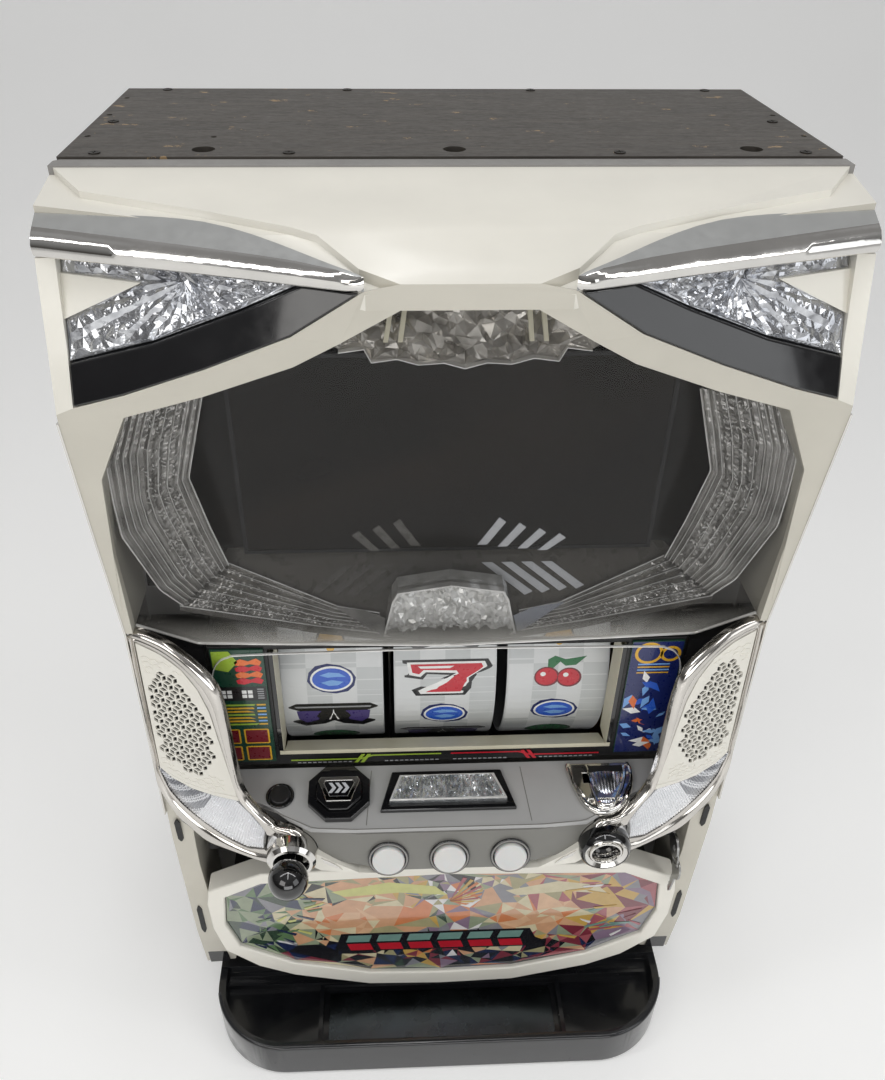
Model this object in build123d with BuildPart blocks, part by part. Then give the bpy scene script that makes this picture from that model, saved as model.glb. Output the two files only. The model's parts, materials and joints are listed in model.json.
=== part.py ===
from build123d import *
import math
import os

os.makedirs("parts", exist_ok=True)

# A reel slot machine: a wooden cabinet with a deep moulded door hung on its left side.
# Drawing datum: X to the right, Z up from the floor, y = 0 on the cabinet's front face and
# negative towards the player. save() moves each piece to the object's own frame, whose
# origin is the middle of its footprint.

# ---- driving dimensions, mm ----
CABINET_WIDTH = 470
CABINET_DEPTH = 200
CABINET_HEIGHT = 810
BOARD = 15
BACK_BOARD = 9
HALF = CABINET_WIDTH / 2
DOOR_HALF = 236
TRIM = 1.5
FRONT_REACH = 168
CABINET_FRONT = (FRONT_REACH - CABINET_DEPTH) / 2

FRAME_FRONT = -16
FRAME_BACK = -2
FRAME_TOP = 809
HINGE_X = -231
HINGE_Y = -11
HINGE_HEIGHTS = (96, 718)
PIN_R = 3
FIT = 0.05
WALL = 3.5
STEP_UP = 4

REEL_Y = 75
REEL_Z = 390
REEL_R = 108
REEL_PITCH = 93
REEL_WIDTH = 84
WINDOW_HALF = 133

DECK_REAR_Y = -62
DECK_REAR_Z = 340
CREASE_Y = -120
CREASE_Z = 333
DECK_LOW_Y = -130
DECK_LOW_Z = 294
STOP_PITCH = 49
STOP_R = 13
STOP_Z = 306
TOP_ROW_Y = -88
LEVER_X = -126
RING_X = 126
KNOB_Z = 308
BALL_R = 15.5
LOCK_X = 203
LOCK_Z = 252

LOWER_FRONT = -87
ART_FRONT = -83
TRAY_FRONT = -150
TRAY_HALF = 222
TRAY_TOP = 48
TRAY_BOTTOM = 3
FAR = 400


def save(builder, label):
    """Moves a finished piece from the drawing datum to the object's frame and writes it."""
    builder.part.label = label
    export_step(builder.part.moved(Location((0, CABINET_FRONT, 0))), f"parts/{label}.step")


def facing(a, b, c):
    """Plane through three points with its normal towards the player or upwards."""
    normal = (Vector(*b) - Vector(*a)).cross(Vector(*c) - Vector(*a))
    if normal.Z - normal.Y < 0:
        normal = normal * -1
    return Plane(origin=a, z_dir=normal)


def sloped(along_x, along_z, start):
    """Plane y = along_x * x + along_z * z + start, facing the player."""
    return facing((0, start, 0), (100, start + 100 * along_x, 0), (0, start + 100 * along_z, 100))


def front_block(outline, skin, back):
    """Solid with a front-view outline (x, z), from the plane y = back out to a skin plane."""
    with BuildPart() as block:
        with BuildSketch(Plane.XZ.offset(-back)):
            with BuildLine():
                Polyline(*outline, close=True)
            make_face()
        extrude(amount=FAR)
        split(bisect_by=skin, keep=Keep.BOTTOM)
    return block.part


def front_plate(outline, skin, thickness):
    """Flat plate with a front-view outline (x, z) whose front face lies on a skin plane."""
    with BuildPart() as plate:
        with BuildSketch(Plane.XZ.offset(-FAR / 2)):
            with BuildLine():
                Polyline(*outline, close=True)
            make_face()
        extrude(amount=FAR)
        split(bisect_by=skin, keep=Keep.BOTTOM)
        split(bisect_by=skin.offset(-thickness), keep=Keep.TOP)
    return plate.part


def top_block(outline, skin, floor):
    """Solid with a plan outline (x, y), from the plane z = floor up to a skin plane."""
    with BuildPart() as block:
        with BuildSketch(Plane.XY.offset(floor)):
            with BuildLine():
                Polyline(*outline, close=True)
            make_face()
        extrude(amount=FAR)
        split(bisect_by=skin, keep=Keep.BOTTOM)
    return block.part


def box(x0, x1, y0, y1, z0, z1):
    """Rectangular block between two corners."""
    with BuildPart() as block:
        with BuildSketch(Plane.XY.offset(z0)):
            with Locations(((x0 + x1) / 2, (y0 + y1) / 2)):
                Rectangle(x1 - x0, y1 - y0)
        extrude(amount=z1 - z0)
    return block.part


def shift(points, dy=0, dz=0):
    """Copies of (x, y, z) points moved back or up."""
    return [(x, y + dy, z + dz) for x, y, z in points]


# ---- cabinet boards ----
TOP_HOLES = (-152, 0, 184)
TOP_HOLE_R = 7
TOP_HOLE_Y = 17
SCREW_HOLES = ((-229, 50), (-229, 110), (-229, 165), (-150, 48), (229, 50), (229, 110))

with BuildPart() as cabinet_top_board:
    with BuildSketch(Plane.XY.offset(CABINET_HEIGHT - BOARD)):
        with Locations((0, CABINET_DEPTH / 2)):
            Rectangle(CABINET_WIDTH, CABINET_DEPTH)
        with Locations(*[(x, TOP_HOLE_Y) for x in TOP_HOLES]):
            Circle(TOP_HOLE_R, mode=Mode.SUBTRACT)
        with Locations(*SCREW_HOLES):
            Circle(2, mode=Mode.SUBTRACT)
    extrude(amount=BOARD)
save(cabinet_top_board, "cabinet_top_board")

with BuildPart() as cabinet_bottom_board:
    add(box(-HALF, HALF, 0, CABINET_DEPTH, 0, BOARD))
save(cabinet_bottom_board, "cabinet_bottom_board")

with BuildPart() as cabinet_side_boards:
    add(box(HALF - BOARD, HALF, 0, CABINET_DEPTH, BOARD, CABINET_HEIGHT - BOARD))
    mirror(about=Plane.YZ)
save(cabinet_side_boards, "cabinet_side_boards")

WIRE_HOLE = (120, 70)
with BuildPart() as cabinet_back_board:
    with BuildSketch(Plane.XZ.offset(-CABINET_DEPTH)):
        with Locations((0, CABINET_HEIGHT / 2)):
            Rectangle(CABINET_WIDTH - 2 * BOARD, CABINET_HEIGHT - 2 * BOARD)
        with Locations((-120, 740)):
            SlotOverall(*WIRE_HOLE, mode=Mode.SUBTRACT)
    extrude(amount=BACK_BOARD)
save(cabinet_back_board, "cabinet_back_board")

# ---- hinges: a leaf on the cabinet's left side with a pin that the door turns on ----
LEAF = 4
PIN_LENGTH = 14
with BuildPart() as hinge_brackets:
    for z in HINGE_HEIGHTS:
        add(box(HINGE_X - 4, HINGE_X + 9, HINGE_Y, 0, z, z + LEAF))
        with BuildSketch(Plane.XY.offset(z)):
            with Locations((HINGE_X, HINGE_Y)):
                Circle(4)
        extrude(amount=LEAF)
        with BuildSketch(Plane.XY.offset(z)):
            with Locations((HINGE_X, HINGE_Y)):
                Circle(PIN_R)
        extrude(amount=LEAF + PIN_LENGTH)
        add(box(HALF * -1 + BOARD, HALF * -1 + BOARD + 3, 4, 44, z - 20, z + 24))
        add(box(HINGE_X - 4, HALF * -1 + BOARD + 3, -2.5, 0, z - 2, z + 6))
        add(box(HALF * -1 + BOARD, HALF * -1 + BOARD + 3, -2.5, 4, z - 2, z + 6))
save(hinge_brackets, "hinge_brackets")

# ---- reel shelf and reel unit ----
SHELF_Z = 262
SHELF = 12
with BuildPart() as reel_shelf:
    add(box(-HALF + BOARD, HALF - BOARD, 12, 185, SHELF_Z, SHELF_Z + SHELF))
save(reel_shelf, "reel_shelf")

PLATE = 1.6
UNIT_BASE = SHELF_Z + SHELF
MOTOR_R = 21
MOTOR_LENGTH = 20
SHAFT_R = 2.5
WALL_X = REEL_PITCH / 2
UNIT_TOP = 480
UNIT_BACK = 165
REELS = {"left": -REEL_PITCH, "centre": 0, "right": REEL_PITCH}
with BuildPart() as reel_frame:
    add(box(-144, 144, 14, 176, UNIT_BASE, UNIT_BASE + PLATE))
    for x in (-REEL_PITCH * 1.5 - PLATE, -WALL_X, WALL_X, REEL_PITCH * 1.5):
        add(box(x, x + PLATE, 16, UNIT_BACK, UNIT_BASE + PLATE, UNIT_TOP))
    add(box(-141.1, 141.1, UNIT_BACK - 15, UNIT_BACK, UNIT_TOP - 2, UNIT_TOP + PLATE))
save(reel_frame, "reel_frame")

with BuildPart() as reel_motors:
    for x in REELS.values():
        plate_x = x + WALL_X
        with BuildSketch(Plane.YZ.offset(plate_x)):
            with Locations((REEL_Y, REEL_Z)):
                Circle(MOTOR_R)
        extrude(amount=-MOTOR_LENGTH)
        with BuildSketch(Plane.YZ.offset(plate_x)):
            with Locations((REEL_Y, REEL_Z)):
                Circle(SHAFT_R)
        extrude(amount=-MOTOR_LENGTH - 40)
save(reel_motors, "reel_motors")

RIM = 2.5
HUB_R = 14
for side, x in REELS.items():
    with BuildPart() as reel_drum:
        with BuildSketch(Plane.YZ.offset(x - REEL_WIDTH / 2)):
            with Locations((REEL_Y, REEL_Z)):
                Circle(REEL_R - 0.4)
                Circle(REEL_R - 0.4 - RIM, mode=Mode.SUBTRACT)
        extrude(amount=REEL_WIDTH)
        with BuildSketch(Plane.YZ.offset(x - 10)):
            with Locations((REEL_Y, REEL_Z)):
                Circle(HUB_R)
                for angle in range(0, 180, 36):
                    Rectangle(2 * (REEL_R - 2), 12, rotation=angle)
                Circle(REEL_R - 1.5, mode=Mode.INTERSECT)
                Circle(SHAFT_R + FIT, mode=Mode.SUBTRACT)
        extrude(amount=3)
        with BuildSketch(Plane.YZ.offset(x - 10)):
            with Locations((REEL_Y, REEL_Z)):
                Circle(HUB_R)
                Circle(SHAFT_R + FIT, mode=Mode.SUBTRACT)
        extrude(amount=16)
        with BuildSketch(Plane.YZ.offset(x - REEL_WIDTH / 2 + 1)):
            with Locations((REEL_Y, REEL_Z)):
                Circle(REEL_R)
                Circle(REEL_R - 0.4, mode=Mode.SUBTRACT)
        extrude(amount=REEL_WIDTH - 2)
    save(reel_drum, f"reel_{side}")

# ---- boards and boxes inside the cabinet ----
with BuildPart() as main_board_case:
    add(box(-135, 135, 140, 188, 545, 715))
    fillet(main_board_case.edges().filter_by(Axis.Y), 4)
    add(box(-128, 128, 139, 181, 552, 708), mode=Mode.SUBTRACT)
save(main_board_case, "main_board_case")

with BuildPart() as power_box:
    add(box(90, 210, 70, 185, BOARD, 130))
    for k in range(8):
        add(box(105 + 12 * k, 109 + 12 * k, 69, 72, 40, 100), mode=Mode.SUBTRACT)
save(power_box, "power_box")

HOPPER_X = -70
HOPPER_Y = 105
DISC_R = 52
with BuildPart() as hopper_base:
    add(box(HOPPER_X - 75, HOPPER_X + 75, HOPPER_Y - 65, HOPPER_Y + 65, BOARD, 70))
    with BuildSketch(Plane.XY.offset(70)):
        with Locations((HOPPER_X, HOPPER_Y)):
            Circle(4)
    extrude(amount=14)
save(hopper_base, "hopper_base")

with BuildPart() as hopper_tank:
    with BuildSketch(Plane.XY.offset(70)):
        with Locations((HOPPER_X, HOPPER_Y)):
            Rectangle(140, 124)
            Circle(DISC_R + 3, mode=Mode.SUBTRACT)
    extrude(amount=16)
    with BuildSketch(Plane.XY.offset(86)):
        with Locations((HOPPER_X, HOPPER_Y)):
            Rectangle(140, 124)
            Rectangle(134, 118, mode=Mode.SUBTRACT)
    extrude(amount=104)
save(hopper_tank, "hopper_tank")

with BuildPart() as hopper_disc:
    with BuildSketch(Plane.XY.offset(72)):
        with Locations((HOPPER_X, HOPPER_Y)):
            Circle(DISC_R)
            with PolarLocations(34, 6):
                Circle(13, mode=Mode.SUBTRACT)
            Circle(4 + FIT, mode=Mode.SUBTRACT)
    extrude(amount=5)
save(hopper_disc, "hopper_disc")

# ---- door frame: the grey base that every cover is fixed to ----
NOTCH_R = 17
with BuildPart() as door_frame:
    with BuildSketch(Plane.XZ.offset(-FRAME_BACK)):
        with Locations((0, (FRAME_TOP + 50) / 2)):
            Rectangle(2 * DOOR_HALF, FRAME_TOP - 50)
        with Locations((0, 630)):
            Rectangle(360, 236, mode=Mode.SUBTRACT)
        with Locations((0, 392)):
            Rectangle(300, 184, mode=Mode.SUBTRACT)
        with Locations((0, 175)):
            Rectangle(340, 150, mode=Mode.SUBTRACT)
    extrude(amount=FRAME_BACK - FRAME_FRONT)
    rear_left = door_frame.edges().filter_by(Axis.Z).sort_by_distance((-DOOR_HALF, FRAME_BACK, 400))
    chamfer(rear_left[0], 3.2)
    for z in HINGE_HEIGHTS:
        with BuildSketch(Plane.XY.offset(z - 3)):
            with Locations((HINGE_X, HINGE_Y)):
                Circle(NOTCH_R)
        extrude(amount=LEAF + 6, mode=Mode.SUBTRACT)
        with BuildSketch(Plane.XY.offset(z)):
            with Locations((HINGE_X, HINGE_Y)):
                Circle(PIN_R + FIT)
        extrude(amount=LEAF + PIN_LENGTH + 2, mode=Mode.SUBTRACT)
save(door_frame, "door_frame")

# ---- upper cover: header, brows below the wing lamps, and side columns, in one moulding ----
HEAD_Y = (FRAME_FRONT, -87, -115, -125)
HEAD_Z = (808, 796, 790, 779)
LIP_Z = 765
ROOF = facing((0, HEAD_Y[0], HEAD_Z[0]), (50, HEAD_Y[0], HEAD_Z[0]), (0, HEAD_Y[1], HEAD_Z[1]))
BONNET = facing((0, HEAD_Y[1], HEAD_Z[1]), (50, HEAD_Y[1], HEAD_Z[1]), (0, HEAD_Y[2], HEAD_Z[2]))
NOSE = facing((0, HEAD_Y[2], HEAD_Z[2]), (50, HEAD_Y[2], HEAD_Z[2]), (0, HEAD_Y[3], HEAD_Z[3]))
raised_panels = (
    (ROOF, ((233, HEAD_Y[0]), (212, -45), (142, -68), (93, HEAD_Y[1]))),
    (BONNET, ((93, HEAD_Y[1]), (79, -92.5), (57, HEAD_Y[2]))),
    (NOSE, ((57, HEAD_Y[2]), (36, HEAD_Y[3]))),
)
band_panels = (
    (ROOF, ((DOOR_HALF, HEAD_Y[0]), (DOOR_HALF, -53), (140, -76), (120.5, HEAD_Y[1]))),
    (BONNET, ((120.5, HEAD_Y[1]), (70.8, HEAD_Y[2]))),
    (NOSE, ((70.8, HEAD_Y[2]), (54, HEAD_Y[3]))),
)
brow = {
    "lip": (36, -125, LIP_Z), "nose": (36, -125, 779), "tip": (55, -125, 775),
    "b2": (94, -120.5, 749), "b3": (144, -111, 726), "b4": (193, -101.5, 706),
    "b5": (225, -95, 695), "b6": (DOOR_HALF, -93.5, 690), "chin": (DOOR_HALF, -93.5, 684),
    "w1": (69, -119, 744), "w2": (95, -113, 728), "w3": (148, -104, 706), "w4": (197, -96, 689),
    "w5": (221, -87, 641), "w6": (228, -77, 574), "w7": (231, -67, 500),
    "foot": (DOOR_HALF, -67, 497), "foot_in": (231, -67, 497),
    "m0": (225, -93.5, 690), "m1": (225, -83, 725), "m2": (DOOR_HALF, -83, 725),
    "m3": (225, -69, 774), "m4": (DOOR_HALF, -69, 774),
}
cover_facets = (
    ("nose", "tip", "lip"), ("tip", "w1", "lip"), ("tip", "b2", "w1"), ("b2", "w2", "w1"),
    ("b2", "b3", "w2"), ("b3", "w3", "w2"), ("b3", "b4", "w3"), ("b4", "w4", "w3"),
    ("b4", "b5", "w4"), ("b5", "chin", "w4"), ("b5", "b6", "chin"), ("w4", "chin", "w5"),
    ("w5", "chin", "foot"), ("w5", "foot", "w6"), ("w6", "foot", "w7"), ("w7", "foot", "foot_in"),
    ("b5", "m2", "b6"), ("b5", "m1", "m2"), ("m1", "m3", "m4"), ("m1", "m4", "m2"),
)
cover_edge = ("lip", "nose", "tip", "b2", "b3", "b4", "b5", "m1", "m3", "m4", "m2", "b6", "chin",
              "foot", "foot_in", "w7", "w6", "w5", "w4", "w3", "w2", "w1")


LENS = sloped(0.385, 0.43, -478.6)
insert_outline = ((226, 764.3), (177, 765), (226, 740.8))


def header_blocks(panels, floor, drop):
    """Header panels as solids from a floor up to their skins, lowered by drop."""
    with BuildPart() as blocks:
        for skin, edge in panels:
            outline = [(-x, y) for x, y in edge] + [(x, y) for x, y in reversed(edge)]
            add(top_block(outline, skin.offset(-drop), floor))
    return blocks.part


def brow_blocks(back, drop):
    """One side's brow and column facets as solids, with the skin set back by drop."""
    with BuildPart() as blocks:
        for names in cover_facets:
            corners = shift([brow[name] for name in names], dy=drop)
            outline = [(x, z) for x, y, z in corners]
            add(front_block(outline, facing(*corners), back))
    return blocks.part


with BuildPart() as brow_hollow:
    add(brow_blocks(FRAME_FRONT + 1, WALL))
    with BuildSketch(Plane.XZ.offset(-FAR / 2)):
        with BuildLine():
            Polyline(*[(brow[name][0], brow[name][2]) for name in cover_edge], close=True)
        make_face()
        offset(amount=-WALL, kind=Kind.INTERSECTION)
    extrude(amount=FAR, mode=Mode.INTERSECT)

header_inner = ((-226, -19), (-226, -50), (-136, -71), (-66, -111), (-48, -121),
                (48, -121), (66, -111), (136, -71), (226, -50), (226, -19))
with BuildPart() as header_hollow:
    add(header_blocks(raised_panels, LIP_Z - 30, WALL + STEP_UP))
    with BuildSketch(Plane.XY.offset(LIP_Z - 40)):
        with BuildLine():
            Polyline(*header_inner, close=True)
        make_face()
    extrude(amount=100, mode=Mode.INTERSECT)

with BuildPart() as upper_cover:
    add(header_blocks(band_panels, LIP_Z, STEP_UP))
    add(header_blocks(raised_panels, LIP_Z, 0))
    add(brow_blocks(FRAME_FRONT, 0))
    add(mirror(brow_blocks(FRAME_FRONT, 0), about=Plane.YZ, mode=Mode.PRIVATE))
    add(brow_hollow.part, mode=Mode.SUBTRACT)
    add(mirror(brow_hollow.part, about=Plane.YZ, mode=Mode.PRIVATE), mode=Mode.SUBTRACT)
    add(header_hollow.part, mode=Mode.SUBTRACT)
    insert = front_plate(insert_outline, LENS.offset(2), 6)
    add(insert)
    add(mirror(insert, about=Plane.YZ, mode=Mode.PRIVATE))
    for z in HINGE_HEIGHTS:
        add(box(-DOOR_HALF - 1, -DOOR_HALF + 14, -26, FRAME_FRONT, z - 4, z + 8), mode=Mode.SUBTRACT)
save(upper_cover, "upper_cover")

# ---- wing lamps: silver blade, clear lens, gloss strip, ivory insert and reflector ----
BLADE_TOP = facing((DOOR_HALF, -55, 793), (DOOR_HALF, -75, 783), (136, -55, 807))
BLADE_FLOOR = 775
LENS_TOP = 774.5
STRIP_RISE = 2.5
blade_outline = ((DOOR_HALF, -53.4), (140, -76.4), (69, -116.4), (54.5, -125.6), (62, -126),
                 (82, -120), (121, -107), (DOOR_HALF, -71))
lens_outline = ((224.5, 719), (224.5, LENS_TOP), (88, LENS_TOP), (121, 758.6), (172, 736.6))
strip_outline = ((87, LENS_TOP), (121, 758), (172, 736), (224.5, 718.5), (224.5, 696), (193.3, 706.8),
                 (144.3, 726.8), (94.4, 749.8), (57, LENS_TOP))
with BuildPart() as lamp_blades:
    add(top_block(blade_outline, BLADE_TOP, BLADE_FLOOR))
    mirror(about=Plane.YZ)
save(lamp_blades, "lamp_blades")

with BuildPart() as lamp_lenses:
    add(front_plate(lens_outline, LENS, 3))
    add(front_plate(insert_outline, LENS.offset(10), 20), mode=Mode.SUBTRACT)
    mirror(about=Plane.YZ)
save(lamp_lenses, "lamp_lenses")

with BuildPart() as lamp_strips:
    add(front_plate(strip_outline, LENS.offset(STRIP_RISE), 6))
    add(upper_cover.part, mode=Mode.SUBTRACT)
    mirror(about=Plane.YZ)
save(lamp_strips, "lamp_strips")

# ---- screen: smoked cover, display, light guides and crystals ----
COVER = sloped(0.06, -0.19, 21.6)
GUIDE = sloped(-0.67, 0, 77.5)
LEDGE = sloped(0, 0.852, -477.4)
window_edge = [(brow[name][0], brow[name][2]) for name in ("lip", "w1", "w2", "w3", "w4", "w5", "w6", "w7")]
window_outline = [(-x, z) for x, z in window_edge] + [(x, z) for x, z in reversed(window_edge)]


def window_block(gap):
    """The window's outline, drawn in by a gap, as a block through the whole door."""
    with BuildPart() as block:
        with BuildSketch(Plane.XZ.offset(-FAR / 2)):
            with BuildLine():
                Polyline(*window_outline, close=True)
            make_face()
            offset(amount=-gap, kind=Kind.INTERSECTION)
        extrude(amount=FAR)
    return block.part


cover_edge_low = ((230.4, 499), (187, 478), (0, 482))
with BuildPart() as screen_cover:
    add(front_plate(((0, 764.4), (35.8, 764.4), (68.7, 743.4), (94.7, 727.4), (147.7, 705.4),
                     (196.4, 688.4), (220.4, 640.8), (227.4, 574)) + cover_edge_low, COVER, 2.5))
    mirror(about=Plane.YZ)
save(screen_cover, "screen_cover")

SCREEN_HALF = 150
with BuildPart() as screen_unit:
    add(window_block(2))
    add(box(-DOOR_HALF, DOOR_HALF, FRAME_FRONT - 1.8, FRAME_FRONT - 0.3, 490, 770), mode=Mode.INTERSECT)
    add(box(-SCREEN_HALF, SCREEN_HALF, -30, FRAME_FRONT - 1, 540, 698))
save(screen_unit, "screen_unit")

with BuildPart() as light_guides:
    add(front_plate(((164, 672), (210, 676), (223, 642), (223.6, 614), (223, 587), (207, 533), (195, 512),
                     (163, 532), (179, 615)), GUIDE, 6))
    add(front_plate(((163, 529), (200, 505), (99, 492.5), (52, 487.7), (52, 499.5), (83, 503.5)), LEDGE, 5))
    add(window_block(1.5), mode=Mode.INTERSECT)
    mirror(about=Plane.YZ)
save(light_guides, "light_guides")

crown_half = ((0, 762), (40, 762), (60, 748), (84, 741), (52, 727), (0, 727))
gem_half = ((0, 533), (39, 526.5), (43, 518), (50, 485), (44, 482.5), (0, 482.5))
with BuildPart() as crystal_ornaments:
    add(front_plate(crown_half, Plane.XZ.offset(110), 24))
    add(window_block(1.5), mode=Mode.INTERSECT)
    add(front_plate(gem_half, Plane.XZ.offset(63), 22))
    mirror(about=Plane.YZ)
save(crystal_ornaments, "crystal_ornaments")

# ---- reel panel with its window frame and the two printed panels ----
PANEL_FRONT = -60
WINDOW_LOW = 360
with BuildPart() as reel_panel:
    add(box(-182, 182, PANEL_FRONT, PANEL_FRONT + 4, 344, 476))
    add(box(-WINDOW_HALF - 4, WINDOW_HALF + 4, -FAR, FAR, WINDOW_LOW - 4, 472), mode=Mode.SUBTRACT)
save(reel_panel, "reel_panel")

LEDGE_BACK = -38
LEDGE_LOW = 349
with BuildPart() as reel_window_frame:
    add(box(-WINDOW_HALF - 3.6, WINDOW_HALF + 3.6, PANEL_FRONT - 1, LEDGE_BACK, WINDOW_LOW - 3.6, 471.6))
    lip = (PANEL_FRONT - 1, WINDOW_LOW)
    ledge_skin = facing((0, *lip), (9, *lip), (0, LEDGE_BACK, LEDGE_LOW))
    with BuildPart(mode=Mode.PRIVATE) as opening:
        with BuildSketch(Plane.XY.offset(300)):
            with Locations((0, -50)):
                Rectangle(2 * WINDOW_HALF, 60)
        extrude(amount=168)
        split(bisect_by=ledge_skin, keep=Keep.TOP)
    add(opening.part, mode=Mode.SUBTRACT)
save(reel_window_frame, "reel_window_frame")

with BuildPart() as info_panels:
    add(box(140, 180, PANEL_FRONT - 2, PANEL_FRONT, 350, 474))
    mirror(about=Plane.YZ)
save(info_panels, "info_panels")

# ---- chrome side frames with speaker grilles and side lamps ----
WING = sloped(0.392, 0.075, -191.35)
BEZEL_R = 20.5
frame_outline = ((DOOR_HALF, 496.4), (213, 494), (198, 486.5), (184, 475.5), (174, 463), (170, 447),
                 (168, 420), (166.5, 392), (163.5, 363), (155, 346), (140, 333), (120, 331), (105, 318),
                 (104, 297), (122, 285), (154, 283), (199, 285), (223, 305), (DOOR_HALF, 335))
grille_outline = ((231.5, 486), (213, 481), (198, 471), (187.5, 456), (180.5, 436), (177, 414), (173, 388),
                  (167.5, 353), (188, 350), (211, 352), (226, 358), (231, 368))
lamp_outline = ((231, 361), (221, 352), (205, 346.5), (188, 346), (169, 348), (158, 337), (147, 322),
                (150, 300), (165, 296), (184, 301), (201, 311), (215.5, 323.5), (226, 338))
SIDE_WALL = 3
side_wall = ((DOOR_HALF - SIDE_WALL, 340), (DOOR_HALF, 340), (DOOR_HALF, 496), (DOOR_HALF - SIDE_WALL, 496))


def knob_bore(x, radius):
    """Cylinder along Y through the lever's or the return ring's place."""
    with BuildPart() as bore:
        with BuildSketch(Plane.XZ.offset(-FAR / 2)):
            with Locations((x, KNOB_Z)):
                Circle(radius)
        extrude(amount=FAR)
    return bore.part


with BuildPart() as speaker_frames:
    add(front_plate(frame_outline, WING, 6))
    add(front_plate(side_wall, WING, 90))
    add(box(0, DOOR_HALF, -FAR, FRAME_FRONT, 0, CABINET_HEIGHT), mode=Mode.INTERSECT)
    add(front_plate(grille_outline, WING.offset(10), 30), mode=Mode.SUBTRACT)
    add(front_plate(lamp_outline, WING.offset(10), 30), mode=Mode.SUBTRACT)
    add(knob_bore(RING_X, BEZEL_R + 0.3), mode=Mode.SUBTRACT)
    mirror(about=Plane.YZ)
save(speaker_frames, "speaker_frames")

GRILLE_HOLE = 4.2
with BuildPart() as speaker_grilles:
    add(front_plate(grille_outline, WING.offset(0.6), 3))
    with BuildPart(mode=Mode.PRIVATE) as perforation:
        with BuildSketch(Plane.XZ.offset(-FAR / 2)):
            with Locations((205, 424)):
                with GridLocations(8.5, 8.5, 5, 12):
                    Circle(GRILLE_HOLE / 2)
        extrude(amount=FAR)
    add(perforation.part, mode=Mode.SUBTRACT)
    add(front_plate(grille_outline, WING.offset(0.6), 3), mode=Mode.INTERSECT)
    mirror(about=Plane.YZ)
save(speaker_grilles, "speaker_grilles")

with BuildPart() as side_lamps:
    add(front_plate(lamp_outline, WING, 4))
    mirror(about=Plane.YZ)
save(side_lamps, "side_lamps")

CONE_R = 20
with BuildPart() as speakers:
    add(box(185, 231, -58, FRAME_FRONT - 0.3, 380, 472))
    with BuildPart(mode=Mode.PRIVATE) as cone:
        with BuildSketch(Plane.XZ.offset(58)):
            with Locations((208, 426)):
                Circle(CONE_R)
        extrude(amount=-16, taper=30)
    add(cone.part, mode=Mode.SUBTRACT)
    mirror(about=Plane.YZ)
save(speakers, "speakers")

# ---- control deck ----
DECK_TOP = facing((0, DECK_REAR_Y, DECK_REAR_Z), (50, DECK_REAR_Y, DECK_REAR_Z), (0, CREASE_Y, CREASE_Z))
DECK_FACE = facing((0, CREASE_Y, CREASE_Z), (50, CREASE_Y, CREASE_Z), (0, DECK_LOW_Y, DECK_LOW_Z))
DECK_SLOPE = (DECK_REAR_Z - CREASE_Z) / (DECK_REAR_Y - CREASE_Y)
FACE_SLOPE = (CREASE_Y - DECK_LOW_Y) / (CREASE_Z - DECK_LOW_Z)
SHEET = 4


def on_deck(x, y):
    """Sketch plane lying on the deck's top at (x, y)."""
    height = CREASE_Z + (y - CREASE_Y) * DECK_SLOPE
    return Plane(origin=(x, y, height), x_dir=(1, 0, 0), z_dir=DECK_TOP.z_dir)


def on_face(x, z):
    """Sketch plane lying on the deck's front face at (x, z)."""
    reach = CREASE_Y + (z - CREASE_Z) * FACE_SLOPE
    return Plane(origin=(x, reach, z), x_dir=(1, 0, 0), z_dir=DECK_FACE.z_dir)


MAX_X = -88
BET_X = -136
INLET_X = 127
INLET_Y = -82
MAX_R = 25
MAX_HOLE = 19.4
BET_R = 8.5
PUSH_REAR = 45
PUSH_FRONT = 55
PUSH_DEPTH = 36
PUSH_RIM = 6
MOUTH = (30, 9)


def push_corners(inset):
    """Corners of the push panel's trapezoid, drawn in by an inset."""
    rear = PUSH_REAR - inset
    front = PUSH_FRONT - 1.2 * inset
    half = PUSH_DEPTH / 2 - inset
    return (-rear, half), (rear, half), (front, -half), (-front, -half)


deck_right = ((75, CREASE_Y), (110, -118), (128, -108), (141, -98), (176, -84), (176, -61))
with BuildPart() as deck_top:
    add(top_block(deck_right + tuple((-x, y) for x, y in reversed(deck_right)), DECK_TOP, 300))
    add(box(-FAR, FAR, -FAR, FAR, 300, 320), mode=Mode.SUBTRACT)
    split(bisect_by=DECK_TOP.offset(-SHEET), keep=Keep.TOP)
    with BuildSketch(on_deck(MAX_X, TOP_ROW_Y)):
        RegularPolygon(MAX_R - 1, 8, rotation=22.5)
    extrude(amount=-20, mode=Mode.SUBTRACT)
    with BuildSketch(on_deck(BET_X, TOP_ROW_Y)):
        Circle(BET_R + 1.5)
    extrude(amount=-20, mode=Mode.SUBTRACT)
    with BuildSketch(on_deck(0, TOP_ROW_Y)):
        Polygon(*push_corners(2), align=None)
    extrude(amount=-20, mode=Mode.SUBTRACT)
    with BuildSketch(on_deck(INLET_X, INLET_Y)):
        Rectangle(MOUTH[0] + 8, MOUTH[1] + 8)
    extrude(amount=-20, mode=Mode.SUBTRACT)
    for x in (LEVER_X, RING_X):
        add(knob_bore(x, BEZEL_R + 0.5), mode=Mode.SUBTRACT)
save(deck_top, "deck_top")

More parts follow.
